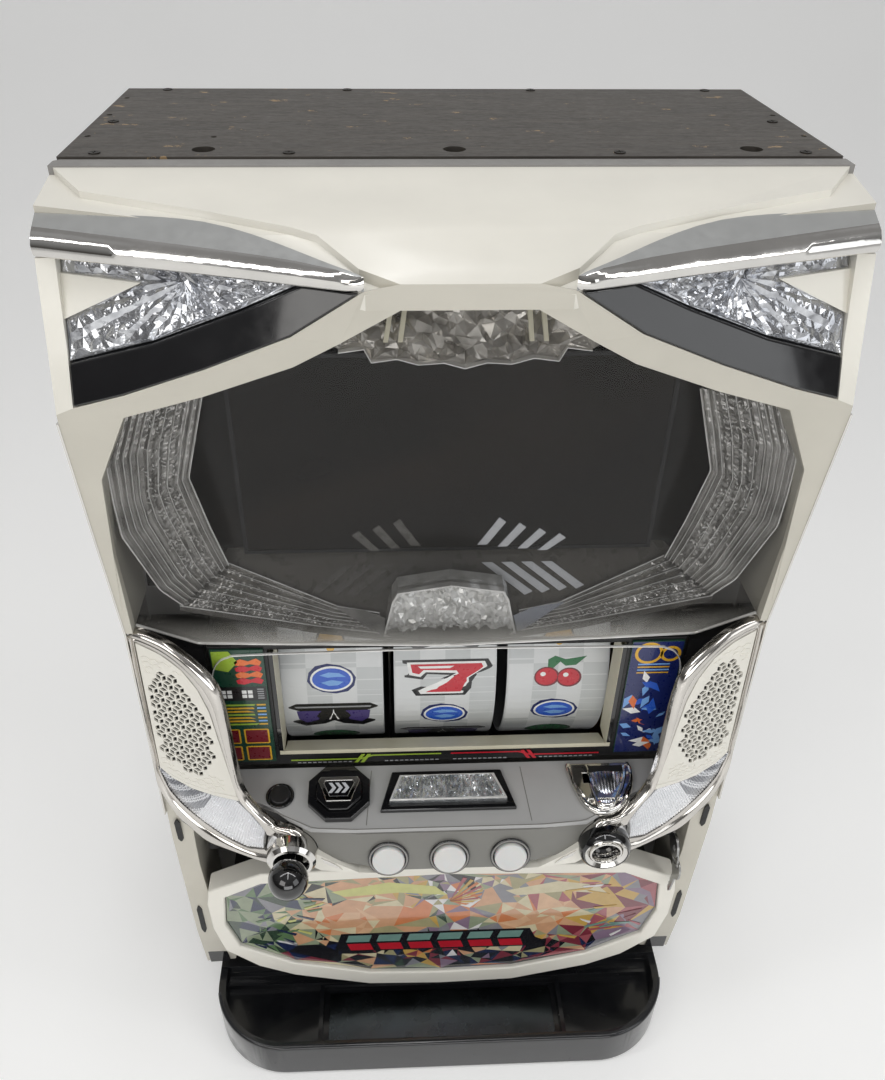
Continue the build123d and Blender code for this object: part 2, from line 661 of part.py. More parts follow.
face_middle = ((-75, CREASE_Z), (75, CREASE_Z), (46, DECK_LOW_Z), (-46, DECK_LOW_Z))
face_side = ((75, CREASE_Y, CREASE_Z), (46, DECK_LOW_Y, DECK_LOW_Z), (110, -120, 301), (118, -113, CREASE_Z))
with BuildPart() as deck_front:
    add(front_plate(face_middle, DECK_FACE, SHEET))
    for corners in ((face_side[0], face_side[1], face_side[2]), (face_side[0], face_side[2], face_side[3])):
        wedge = front_plate([(x, z) for x, y, z in corners], facing(*corners), SHEET)
        add(wedge)
        add(mirror(wedge, about=Plane.YZ, mode=Mode.PRIVATE))
    add(top_block(((-FAR, -FAR), (FAR, -FAR), (FAR, 0), (-FAR, 0)), DECK_TOP.offset(-SHEET - 0.01), 200),
        mode=Mode.INTERSECT)
    for x in (LEVER_X, RING_X):
        add(knob_bore(x, BEZEL_R + 0.5), mode=Mode.SUBTRACT)
    for x in (-STOP_PITCH, 0, STOP_PITCH):
        with BuildSketch(on_face(x, STOP_Z)):
            Circle(STOP_R + 1)
        extrude(amount=-20, both=True, mode=Mode.SUBTRACT)
save(deck_front, "deck_front")

# ---- buttons: bezels stay on the deck, each button slides in its bezel ----
SLACK = 0.4
with BuildPart() as button_bezels:
    for x in (-STOP_PITCH, 0, STOP_PITCH):
        with BuildSketch(on_face(x, STOP_Z)):
            Circle(STOP_R + 3.5)
            Circle(STOP_R + SLACK, mode=Mode.SUBTRACT)
        extrude(amount=2.5)
    with BuildSketch(on_deck(MAX_X, TOP_ROW_Y)):
        RegularPolygon(MAX_R + 2, 8, rotation=22.5)
        RegularPolygon(MAX_HOLE + SLACK, 8, rotation=22.5, mode=Mode.SUBTRACT)
    extrude(amount=6)
    with BuildSketch(on_deck(BET_X, TOP_ROW_Y)):
        Circle(BET_R + 3)
        Circle(BET_R + SLACK, mode=Mode.SUBTRACT)
    extrude(amount=2)
    with BuildSketch(on_deck(0, TOP_ROW_Y)):
        Polygon(*push_corners(0), align=None)
        Polygon(*push_corners(PUSH_RIM), align=None, mode=Mode.SUBTRACT)
    extrude(amount=4)
save(button_bezels, "button_bezels")

for side, x in {"left": -STOP_PITCH, "centre": 0, "right": STOP_PITCH}.items():
    with BuildPart() as stop_button:
        with BuildSketch(on_face(x, STOP_Z).offset(-9)):
            Circle(STOP_R)
        extrude(amount=9 + 5.5)
        fillet(stop_button.faces().sort_by(Axis.Y)[0].edges(), 1.6)
    save(stop_button, f"stop_button_{side}")

with BuildPart() as max_button:
    with BuildSketch(on_deck(MAX_X, TOP_ROW_Y).offset(-8)):
        RegularPolygon(MAX_HOLE, 8, rotation=22.5)
    extrude(amount=8 + 9)
    chamfer(max_button.faces().sort_by(Axis.Z)[-1].edges(), 1.5)
save(max_button, "max_button")

with BuildPart() as bet_button:
    with BuildSketch(on_deck(BET_X, TOP_ROW_Y).offset(-8)):
        Circle(BET_R)
    extrude(amount=8 + 4)
    fillet(bet_button.faces().sort_by(Axis.Z)[-1].edges(), 1)
save(bet_button, "bet_button")

with BuildPart() as push_button:
    with BuildSketch(on_deck(0, TOP_ROW_Y).offset(-8)):
        Polygon(*push_corners(PUSH_RIM + SLACK), align=None)
    extrude(amount=8 + 8)
    chamfer(push_button.faces().sort_by(Axis.Z)[-1].edges(), 3)
save(push_button, "push_button")

# ---- medal inlet on the deck and the selector behind the door ----
with BuildPart() as medal_inlet:
    with BuildSketch(on_deck(INLET_X, INLET_Y)):
        Polygon((-24, 14), (24, 14), (24, -2), (14, -20), (-14, -20), (-24, -2), align=None)
        Rectangle(*MOUTH, mode=Mode.SUBTRACT)
    extrude(amount=6)
    with BuildSketch(on_deck(INLET_X, INLET_Y)):
        Rectangle(MOUTH[0] + 6, MOUTH[1] + 4)
        Rectangle(*MOUTH, mode=Mode.SUBTRACT)
    extrude(amount=-16)
    with BuildSketch(on_deck(INLET_X, INLET_Y).offset(-18)):
        Rectangle(MOUTH[0] + 6, MOUTH[1] + 4)
    extrude(amount=2)
save(medal_inlet, "medal_inlet")

with BuildPart() as medal_selector:
    add(box(118, 176, FRAME_BACK, 18, 176, 255))
    add(box(124, 170, 12, 19, 182, 249), mode=Mode.SUBTRACT)
    add(box(140, 150, 0, 17, 150, 177))
save(medal_selector, "medal_selector")

# ---- start lever in a two-axis gimbal, and the return ring on the right ----
PIVOT_Y = -107.5
GIMBAL_PIN = 1.5
with BuildPart() as lever_bezel:
    with BuildSketch(Plane.YZ):
        with BuildLine():
            Polyline((-132, 14.5), (-132, 17), (-129, BEZEL_R - 1), (-120, BEZEL_R), (-109, BEZEL_R),
                     (-109, 16), (-103, 16), (-103, 11.5), (-112, 11.5), (-112, 14.5), close=True)
        make_face()
    revolve(axis=Axis.Y)
    with BuildSketch(Plane.YZ.offset(-FAR / 2)):
        with Locations((PIVOT_Y, 0)):
            Circle(GIMBAL_PIN + FIT)
    extrude(amount=FAR, mode=Mode.SUBTRACT)
lever_bezel.part = lever_bezel.part.moved(Location((LEVER_X, 0, KNOB_Z)))
save(lever_bezel, "lever_bezel")

with BuildPart() as lever_gimbal:
    with BuildSketch(Plane.XZ.offset(-PIVOT_Y - 2.5)):
        with Locations((LEVER_X, KNOB_Z)):
            Circle(10)
            Circle(7.2, mode=Mode.SUBTRACT)
    extrude(amount=5)
    for side in (-1, 1):
        with BuildSketch(Plane.YZ.offset(LEVER_X + side * 9)):
            with Locations((PIVOT_Y, KNOB_Z)):
                Circle(GIMBAL_PIN)
        extrude(amount=side * 5)
    with BuildSketch(Plane.XY.offset(KNOB_Z - 20)):
        with Locations((LEVER_X, PIVOT_Y)):
            Circle(GIMBAL_PIN + FIT)
    extrude(amount=40, mode=Mode.SUBTRACT)
save(lever_gimbal, "lever_gimbal")

BALL_Y = -FRONT_REACH + BALL_R
BALL_RISE = 10
TILT = math.atan2(BALL_RISE, PIVOT_Y - BALL_Y)
shaft_axis = Vector(0, -math.cos(TILT), math.sin(TILT))
pivot = (LEVER_X, PIVOT_Y, KNOB_Z)
with BuildPart() as start_lever:
    with BuildSketch(Plane(origin=pivot, x_dir=(1, 0, 0), z_dir=shaft_axis)):
        Circle(3.5)
    extrude(amount=38)
    with BuildSketch(Plane(origin=pivot, x_dir=(1, 0, 0), z_dir=shaft_axis)):
        Circle(3.5)
    extrude(amount=-8)
    with BuildSketch(Plane.XY.offset(KNOB_Z - 9.6)):
        with Locations((LEVER_X, PIVOT_Y)):
            Circle(GIMBAL_PIN)
    extrude(amount=19.2)
    with Locations((LEVER_X, BALL_Y, KNOB_Z + BALL_RISE)):
        Sphere(BALL_R)
save(start_lever, "start_lever")

RING_BUTTON_R = 10
with BuildPart() as return_bezel:
    with BuildSketch(Plane.YZ):
        with BuildLine():
            Polyline((-130, 14), (-132, 17), (-129, BEZEL_R - 1), (-120, BEZEL_R), (-109, BEZEL_R),
                     (-109, 12), (-112, RING_BUTTON_R + SLACK), (-120, RING_BUTTON_R + SLACK), close=True)
        make_face()
    revolve(axis=Axis.Y)
return_bezel.part = return_bezel.part.moved(Location((RING_X, 0, KNOB_Z)))
save(return_bezel, "return_bezel")

with BuildPart() as return_button:
    with BuildSketch(Plane.XZ.offset(110)):
        with Locations((RING_X, KNOB_Z)):
            Circle(RING_BUTTON_R)
    extrude(amount=13)
    with BuildSketch(Plane.XZ.offset(120)):
        with Locations((RING_X, KNOB_Z)):
            Circle(5)
    extrude(amount=3, mode=Mode.SUBTRACT)
save(return_button, "return_button")

# ---- black recess between the deck and the lower panel, with the door lock ----
RECESS_Y = -50
RECESS_HALF = 213
LOCK_R = 9
PLUG_R = 5.5
with BuildPart() as recess_panel:
    add(box(-RECESS_HALF, RECESS_HALF, RECESS_Y, RECESS_Y + 4, 219, 300))
    add(box(-104, 104, -118, RECESS_Y + 1, 287, 290))
    with BuildSketch(Plane.XZ.offset(-RECESS_Y - 10)):
        with Locations((LOCK_X, LOCK_Z)):
            Circle(LOCK_R + FIT)
    extrude(amount=20, mode=Mode.SUBTRACT)
save(recess_panel, "recess_panel")

with BuildPart() as lock_body:
    with BuildSketch(Plane.XZ.offset(-FRAME_FRONT + 0.3)):
        with Locations((LOCK_X, LOCK_Z)):
            Circle(LOCK_R)
            Circle(PLUG_R + FIT, mode=Mode.SUBTRACT)
    extrude(amount=46)
save(lock_body, "lock_body")

KEY = 2
with BuildPart() as lock_key:
    with BuildSketch(Plane.XZ.offset(-FRAME_FRONT + 4)):
        with Locations((LOCK_X, LOCK_Z)):
            Circle(PLUG_R)
    extrude(amount=44)
    with BuildSketch(Plane.YZ.offset(LOCK_X - KEY / 2)):
        with Locations((-70, LOCK_Z)):
            Rectangle(16, 8)
        with Locations((-84, LOCK_Z)):
            Circle(11)
        with Locations((-88, LOCK_Z)):
            Circle(3, mode=Mode.SUBTRACT)
    extrude(amount=KEY)
save(lock_key, "lock_key")

HOOK_HEIGHTS = (200, 420, 640)
SLOT_GAP = 2.5
with BuildPart() as lock_bar:
    add(box(205, 213, FRAME_BACK + 0.5, 4, 140, 700))
    for z in HOOK_HEIGHTS:
        add(box(205, 213, 4, 22, z, z + 8))
        add(box(205, 213, 16, 22, z + 8, z + 14))
save(lock_bar, "lock_bar")

with BuildPart() as lock_strikers:
    for z in HOOK_HEIGHTS:
        add(box(198, HALF - BOARD, 9, 11, z - 14, z + 40))
        add(box(205 - SLOT_GAP, 213 + SLOT_GAP, 8, 12, z - 6, z + 30), mode=Mode.SUBTRACT)
save(lock_strikers, "lock_strikers")

# ---- lower panel: ivory frame, printed panel and its light box ----
lower_edge = ((0, 236), (163, 231), (211, 207), (214, 187), (213.5, 149), (206, 112), (177, 83), (144, 65),
              (71, 44), (0, 41))
art_edge = ((0, 222), (163, 216), (197, 197), (201, 156), (191, 118), (142, 86), (70, 65), (0, 62))
LOWER_DEPTH = 21


def both_sides(half):
    """A closed outline from its right half, whose ends lie on the centre line."""
    return list(half) + [(-x, z) for x, z in reversed(half[1:-1])]


with BuildPart() as lower_frame:
    with BuildSketch(Plane.XZ.offset(-LOWER_FRONT)):
        with BuildLine():
            Polyline(*both_sides(lower_edge), close=True)
        make_face()
        Polygon(*both_sides(art_edge), align=None, mode=Mode.SUBTRACT)
    extrude(amount=-LOWER_DEPTH)
save(lower_frame, "lower_frame")

with BuildPart() as lower_panel:
    with BuildSketch(Plane.XZ.offset(-ART_FRONT)):
        with BuildLine():
            Polyline(*both_sides(art_edge), close=True)
        make_face()
        offset(amount=-0.4, kind=Kind.INTERSECTION)
    extrude(amount=-3)
save(lower_panel, "lower_panel")

with BuildPart() as lower_light_box:
    with BuildSketch(Plane.XZ.offset(-ART_FRONT - 4)):
        with BuildLine():
            Polyline(*both_sides(art_edge), close=True)
        make_face()
        offset(amount=-4, kind=Kind.INTERSECTION)
    extrude(amount=FRAME_FRONT - 1 - ART_FRONT - 4, dir=(0, 1, 0))
    with BuildSketch(Plane.XZ.offset(-ART_FRONT - 4)):
        with BuildLine():
            Polyline(*both_sides(art_edge), close=True)
        make_face()
        offset(amount=-7, kind=Kind.INTERSECTION)
    extrude(amount=FRAME_FRONT - 4 - ART_FRONT - 4, dir=(0, 1, 0), mode=Mode.SUBTRACT)
save(lower_light_box, "lower_light_box")

# ---- side legs and side trims ----
leg_front = ((DOOR_HALF, 333), (223.5, 304), (216, 298), (218, 224), (215.5, 150), (212, 92), (198, 90),
             (207, 48), (DOOR_HALF, 45))
leg_side = ((FRAME_FRONT, 45), (-57, 45), (-66, 114), (-72, 266), (-69, 334), (FRAME_FRONT, 334))
leg_inside = ((-18, 52), (-53, 52), (-62, 114), (-68, 266), (-65, 322), (-18, 322))
with BuildPart() as side_legs:
    with BuildSketch(Plane.YZ.offset(190)):
        with BuildLine():
            Polyline(*leg_side, close=True)
        make_face()
    extrude(amount=DOOR_HALF - 190)
    with BuildSketch(Plane.XZ):
        with BuildLine():
            Polyline(*leg_front, close=True)
        make_face()
    extrude(amount=100, mode=Mode.INTERSECT)
    with BuildSketch(Plane.YZ.offset(222)):
        with BuildLine():
            Polyline(*leg_inside, close=True)
        make_face()
    extrude(amount=DOOR_HALF - WALL - 222, mode=Mode.SUBTRACT)
    mirror(about=Plane.YZ)
    for z in HINGE_HEIGHTS:
        add(box(-DOOR_HALF - 1, -DOOR_HALF + 14, -26, FRAME_FRONT, z - 4, z + 8), mode=Mode.SUBTRACT)
save(side_legs, "side_legs")

with BuildPart() as side_trims:
    with BuildSketch(Plane.YZ.offset(DOOR_HALF)):
        with BuildLine():
            Polyline((-94, 684), (-67.5, 497), (-74, 300), (-70, 300), (-63.5, 497), (-90, 684), close=True)
        make_face()
    extrude(amount=TRIM)
    mirror(about=Plane.YZ)
save(side_trims, "side_trims")

# ---- coin tray ----
TRAY_CORNER = 72
TRAY_WALL = 7
TRAY_FLOOR = 14
SHOULDER_Y = -92
with BuildPart() as coin_tray:
    with BuildSketch(Plane.XY.offset(TRAY_BOTTOM)):
        with Locations((0, (TRAY_FRONT - 18) / 2)):
            tray_plan = Rectangle(2 * TRAY_HALF, -18 - TRAY_FRONT)
        fillet(tray_plan.vertices().group_by(Axis.Y)[0], TRAY_CORNER)
    extrude(amount=TRAY_TOP - TRAY_BOTTOM)
    fillet(coin_tray.edges().group_by(Axis.Z)[-1].sort_by(Axis.Y)[0], 3)
    with BuildSketch(Plane.XY.offset(TRAY_FLOOR)):
        with Locations((0, (TRAY_FRONT - 62) / 2 + TRAY_WALL / 2)):
            well = Rectangle(2 * (TRAY_HALF - TRAY_WALL), -62 - TRAY_FRONT - TRAY_WALL)
        fillet(well.vertices().group_by(Axis.Y)[0], TRAY_CORNER - TRAY_WALL)
    extrude(amount=60, mode=Mode.SUBTRACT)
    add(box(-FAR, FAR, SHOULDER_Y, 0, 40, 100), mode=Mode.SUBTRACT)
    add(box(-TRAY_HALF + TRAY_WALL, TRAY_HALF - TRAY_WALL, -58, -22, TRAY_BOTTOM, 34), mode=Mode.SUBTRACT)
    add(box(-TRAY_HALF + TRAY_WALL, TRAY_HALF - TRAY_WALL, -72, -62, TRAY_FLOOR, 22))
    for x in (-120, 120):
        add(box(x - 2, x + 2, -143, -72, TRAY_FLOOR, 20))
save(coin_tray, "coin_tray")

with BuildPart() as tray_plate:
    add(box(-112, 112, -140, -80, TRAY_FLOOR, TRAY_FLOOR + 1.5))
save(tray_plate, "tray_plate")
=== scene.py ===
import json
import math
import random

import bmesh
import bpy
from mathutils import Matrix, Vector
from mathutils.geometry import delaunay_2d_cdt

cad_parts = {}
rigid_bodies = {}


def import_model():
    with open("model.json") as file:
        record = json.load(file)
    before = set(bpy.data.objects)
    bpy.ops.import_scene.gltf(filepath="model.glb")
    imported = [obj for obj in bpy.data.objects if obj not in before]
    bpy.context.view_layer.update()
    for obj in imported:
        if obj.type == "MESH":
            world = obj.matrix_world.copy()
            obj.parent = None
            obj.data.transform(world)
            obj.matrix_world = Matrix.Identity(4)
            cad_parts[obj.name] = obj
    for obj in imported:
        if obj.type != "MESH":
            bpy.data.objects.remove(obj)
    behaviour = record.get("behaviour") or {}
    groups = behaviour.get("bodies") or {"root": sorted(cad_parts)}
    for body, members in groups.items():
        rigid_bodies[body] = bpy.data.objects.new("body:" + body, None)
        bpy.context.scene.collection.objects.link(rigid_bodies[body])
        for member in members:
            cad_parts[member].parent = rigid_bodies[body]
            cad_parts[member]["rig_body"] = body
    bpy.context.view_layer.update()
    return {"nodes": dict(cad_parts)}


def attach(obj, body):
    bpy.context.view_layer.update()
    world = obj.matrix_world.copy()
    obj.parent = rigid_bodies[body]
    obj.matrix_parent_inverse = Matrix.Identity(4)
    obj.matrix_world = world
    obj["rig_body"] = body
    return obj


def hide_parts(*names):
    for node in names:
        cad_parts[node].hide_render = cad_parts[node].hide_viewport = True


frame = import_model()
NODES = frame["nodes"]
MM = 0.001
SAME = 1e-6  # m, points closer than this are one point
FRONT = -16.0  # mm, the cabinet's front face in the row frame
DECK_LIP = (-120, 333)  # mm, (y, z) of the edge between the deck's top and its front face
DECK_SLOPE = 7 / 58
FACE_SLOPE = 10 / 39
TOP = 810  # mm, the cabinet's height
LEVER = (-126, 308)  # mm, (x, z) of the start lever's axis
REEL_Y, REEL_Z, REEL_R = 75.0, 390.0, 108.0  # mm, the reels' axis and radius
SIDES = (1, -1)
MIRRORED = (False, True)
rng = random.Random(7)


# ---------------------------------------------------------------- helpers
def at(x, y, z):
    """A point of the design drawing, in mm from the cabinet's front face, in the row frame."""
    return Vector((x, y + FRONT, z)) * MM


def front(a, b, c):
    """Maps (x, z, height) onto the sloped front plane y = a*|x| + b*z + c."""
    n = Vector((a, -1.0, b)).normalized()

    def place(u, v, w=0.0):
        side = -1.0 if u < 0 else 1.0
        return at(u + side * n.x * w, a * abs(u) + b * v + c + n.y * w, v + n.z * w)
    return place


def flat(y):
    """Maps (x, z, height) onto an upright plane facing the player."""
    return lambda u, v, w=0.0: at(u, y - w, v)


def deck_height(y):
    """Height of the deck's top at y."""
    return DECK_LIP[1] + (y - DECK_LIP[0]) * DECK_SLOPE


def on_deck(cx, cy):
    """Maps (right, up the slope, height) around a point of the deck's top."""
    c, s = math.cos(math.atan(DECK_SLOPE)), math.sin(math.atan(DECK_SLOPE))
    return lambda u, v, w=0.0: at(cx + u, cy + v * c - w * s, deck_height(cy) + v * s + w * c)


def on_face(cx, cz):
    """Maps (right, up, height) around a point of the deck's front face."""
    c, s = math.cos(math.atan(FACE_SLOPE)), math.sin(math.atan(FACE_SLOPE))
    y0 = DECK_LIP[0] - (DECK_LIP[1] - cz) * FACE_SLOPE
    return lambda u, v, w=0.0: at(cx + u, y0 + v * s - w * c, cz + v * c + w * s)


def on_reel(cx, turn):
    """Maps (across, along the strip, height) onto a reel's rim."""
    def place(u, v, w=0.0):
        a = turn + v / REEL_R
        r = REEL_R + w
        return at(cx + u, REEL_Y - r * math.cos(a), REEL_Z + r * math.sin(a))
    return place


def put(name, bm, materials, smooth=None, body="door", replaces=None, recalc=True):
    """Makes an object from a bmesh on one body; edges below smooth, in degrees, are shaded smooth."""
    if recalc:
        bmesh.ops.recalc_face_normals(bm, faces=bm.faces)
    mesh = bpy.data.meshes.new(name)
    bm.to_mesh(mesh)
    bm.free()
    for m in materials if isinstance(materials, (list, tuple)) else [materials]:
        mesh.materials.append(m)
    if smooth is not None:
        mesh.polygons.foreach_set("use_smooth", [True] * len(mesh.polygons))
        mesh.set_sharp_from_angle(angle=math.radians(smooth))
    obj = bpy.data.objects.new(name, mesh)
    bpy.context.scene.collection.objects.link(obj)
    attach(obj, body)
    if replaces:
        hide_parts(replaces)
    return obj


def bevel(obj, width, segments=2, angle=30):
    m = obj.modifiers.new("Bevel", "BEVEL")
    m.width = width * MM
    m.segments = segments
    m.limit_method = "ANGLE"
    m.angle_limit = math.radians(angle)
    m.harden_normals = True
    return obj


def carry(node, material, width=0.8, segments=2, smooth=32, top=None):
    """Stands for a CAD node with its own shape, its coplanar faces merged and its edges rounded."""
    bm = bmesh.new()
    bm.from_mesh(NODES[node].data)
    if top:
        everything = bm.verts[:] + bm.edges[:] + bm.faces[:]
        made = bmesh.ops.bisect_plane(bm, geom=everything, plane_co=(0, 0, top * MM), plane_no=(0, 0, 1),
                                      clear_outer=True, dist=SAME)
        bmesh.ops.holes_fill(bm, edges=[e for e in made["geom_cut"] if isinstance(e, bmesh.types.BMEdge)])
    for layer in list(bm.loops.layers.float_vector):
        bm.loops.layers.float_vector.remove(layer)
    bmesh.ops.remove_doubles(bm, verts=bm.verts, dist=SAME)
    bmesh.ops.dissolve_limit(bm, angle_limit=math.radians(0.8), verts=bm.verts, edges=bm.edges)
    for f in bm.faces:
        f.material_index = 0
    obj = put(node + "_skin", bm, material, smooth, NODES[node]["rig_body"], node, recalc=False)
    return bevel(obj, width, segments)


def inside(p, outline, margin=0.0):
    """True where a point lies in an outline, at least the margin away from its edges."""
    hit = False
    n = len(outline)
    for i in range(n):
        (x0, y0), (x1, y1) = outline[i], outline[(i + 1) % n]
        if (y0 > p[1]) != (y1 > p[1]) and p[0] < (x1 - x0) * (p[1] - y0) / (y1 - y0) + x0:
            hit = not hit
        if margin:
            dx, dy = x1 - x0, y1 - y0
            t = max(0.0, min(1.0, ((p[0] - x0) * dx + (p[1] - y0) * dy) / (dx * dx + dy * dy)))
            if math.hypot(p[0] - x0 - t * dx, p[1] - y0 - t * dy) < margin:
                return False
    return hit


def cut(outline, points=(), holes=(), margin=0.4):
    """Corners and triangles of a flat outline with extra inner points and holes."""
    verts = [Vector(p) for p in outline]
    edges = [(i, (i + 1) % len(outline)) for i in range(len(outline))]
    for hole in holes:
        k = len(verts)
        verts += [Vector(p) for p in hole]
        edges += [(k + i, k + (i + 1) % len(hole)) for i in range(len(hole))]
    verts += [Vector(p) for p in points if inside(p, outline, margin)]
    out, _, faces, *_ = delaunay_2d_cdt(verts, edges, [], 1, 1e-5)
    if holes:
        kept = []
        centres = [(sum(p[0] for p in h) / len(h), sum(p[1] for p in h) / len(h)) for h in holes]
        reach = max(math.hypot(p[0] - c[0], p[1] - c[1]) for h, c in zip(holes, centres) for p in h)
        for f in faces:
            m = sum((out[i] for i in f), Vector((0, 0))) / len(f)
            near = [h for h, c in zip(holes, centres) if abs(c[0] - m.x) < reach and abs(c[1] - m.y) < reach]
            if not any(inside(m, h) for h in near):
                kept.append(f)
        faces = kept
    return out, faces


def sheet(bm, place, verts, faces, height, thickness, index=0, mirror=False):
    """Adds a closed plate: its front skin at height(u, v) and its back below it."""
    side = -1 if mirror else 1
    rise = [height(p.x, p.y) for p in verts] if callable(height) else height
    top = [bm.verts.new(place(side * p.x, p.y, h)) for p, h in zip(verts, rise)]
    low = [bm.verts.new(place(side * p.x, p.y, -thickness)) for p in verts]
    count = {}
    for f in faces:
        for a, b in zip(f, f[1:] + f[:1]):
            count[frozenset((a, b))] = count.get(frozenset((a, b)), 0) + 1
    for f in faces:
        g = bm.faces.new([top[i] for i in f])
        g.material_index = index
        bm.faces.new([low[i] for i in reversed(f)]).material_index = index
        for a, b in zip(f, f[1:] + f[:1]):
            if count[frozenset((a, b))] == 1:
                bm.faces.new((top[b], top[a], low[a], low[b])).material_index = index
    used = {v for f in bm.faces for v in f.verts}
    for v in [v for v in top + low if v not in used]:
        bm.verts.remove(v)


def spot(p):
    """A point's rounded coordinates, to look it up after it was triangulated."""
    return round(p[0], 3), round(p[1], 3)


def plate(bm, place, outline, height=0.5, thickness=0.5, index=0, points=(), holes=(), mirror=False):
    """Adds a closed plate of one height inside an outline."""
    verts, faces = cut(outline, points, holes)
    sheet(bm, place, verts, faces, lambda u, v: height, thickness, index, mirror)


def strip_grid(bm, place, inner, outer, along, across, height, thickness, index=0, mirror=False, shade=None):
    """A closed plate between two polylines, with height(i, j) for each crossing of its grid."""
    a, b = resample(inner, along), resample(outer, along)
    verts = [p.lerp(q, j / across) for p, q in zip(a, b) for j in range(across + 1)]
    rise = [height(i, j) for i in range(along + 1) for j in range(across + 1)]
    w = across + 1
    faces = [[i * w + j, i * w + j + 1, (i + 1) * w + j + 1, (i + 1) * w + j]
             for i in range(along) for j in range(across)]
    before = len(bm.faces)
    sheet(bm, place, verts, faces, rise, thickness, index, mirror)
    if shade:
        bm.faces.ensure_lookup_table()
        for k in range(len(faces)):
            bm.faces[before + k].material_index = shade(k // across, k % across)


def ridge(bm, place, line, wide, low, high, index=0):
    """A thin raised line along points (u, v) on a surface."""
    path = [Vector((*p, 0)) for p in line]
    rows = []
    for k, p in enumerate(path):
        a, b = path[max(k - 1, 0)], path[min(k + 1, len(path) - 1)]
        n = Vector((a.y - b.y, b.x - a.x, 0)).normalized() * wide / 2
        rows.append([place(p.x - n.x, p.y - n.y, low), place(p.x - 0.6 * n.x, p.y - 0.6 * n.y, high),
                     place(p.x + 0.6 * n.x, p.y + 0.6 * n.y, high), place(p.x + n.x, p.y + n.y, low)])
    sweep(bm, rows, index)


def turned(bm, place, profile, n, index=0):
    """A ring turned from a profile of (radius, height) around the middle of a place."""
    angles = [2 * math.pi * i / n for i in range(n)]
    sweep(bm, [[place(r * math.cos(a), r * math.sin(a), w) for r, w in profile] for a in angles], index, True)


def sided(side, outline):
    """An outline on the right (side 1) or mirrored to the left (side -1)."""
    return [(side * x, z) for x, z in outline]


def rect(x0, x1, y0, y1):
    """The four corners of a rectangle."""
    return [(x0, y0), (x1, y0), (x1, y1), (x0, y1)]


def ring_points(radius, n=32, cx=0.0, cy=0.0, squash=1.0, start=0.0):
    """n points around a circle or a flattened circle."""
    return [(cx + radius * math.cos(start + 2 * math.pi * i / n),
             cy + squash * radius * math.sin(start + 2 * math.pi * i / n)) for i in range(n)]


def sweep(bm, rows, index=0, close_rows=False, caps=True):
    """Quads between rows of points; each row is one closed loop of the cross-section."""
    made = [[bm.verts.new(p) for p in row] for row in rows]
    n = len(made[0])
    pairs = list(zip(made, made[1:])) + ([(made[-1], made[0])] if close_rows else [])
    for a, b in pairs:
        for i in range(n):
            j = (i + 1) % n
            bm.faces.new((a[i], a[j], b[j], b[i])).material_index = index
    if caps and not close_rows:
        bm.faces.new(list(reversed(made[0]))).material_index = index
        bm.faces.new(made[-1]).material_index = index


def resample(points, n):
    """n + 1 points evenly along a polyline."""
    pts = [Vector(p) for p in points]
    lengths = [0.0]
    for a, b in zip(pts, pts[1:]):
        lengths.append(lengths[-1] + (b - a).length)
    out = []
    k = 0
    for i in range(n + 1):
        s = lengths[-1] * i / n
        while k < len(pts) - 2 and lengths[k + 1] < s:
            k += 1
        t = (s - lengths[k]) / max(1e-9, lengths[k + 1] - lengths[k])
        out.append(pts[k].lerp(pts[k + 1], min(1.0, t)))
    return out


def smooth_line(points, steps=8):
    """A Catmull-Rom line through points."""
    pts = [Vector(p) for p in points]
    pts = [2 * pts[0] - pts[1]] + pts + [2 * pts[-1] - pts[-2]]
    out = []
    for p0, p1, p2, p3 in zip(pts, pts[1:], pts[2:], pts[3:]):
        for i in range(steps):
            t = i / steps
            out.append(0.5 * (2 * p1 + (p2 - p0) * t + (2 * p0 - 5 * p1 + 4 * p2 - p3) * t * t
                              + (3 * p1 - p0 - 3 * p2 + p3) * t ** 3))
    out.append(pts[-2])
    return out


# ---------------------------------------------------------------- materials
def lighter(colour, k):
    """A colour made k times as bright."""
    return tuple(max(0.0, min(1.0, c * k)) for c in colour[:3]) + (1.0,)


def rgb(r, g, b):
    """Scene colour of an 8-bit display colour."""
    return tuple((c / 255 / 12.92) if c / 255 <= 0.04045 else ((c / 255 + 0.055) / 1.055) ** 2.4
                 for c in (r, g, b)) + (1.0,)


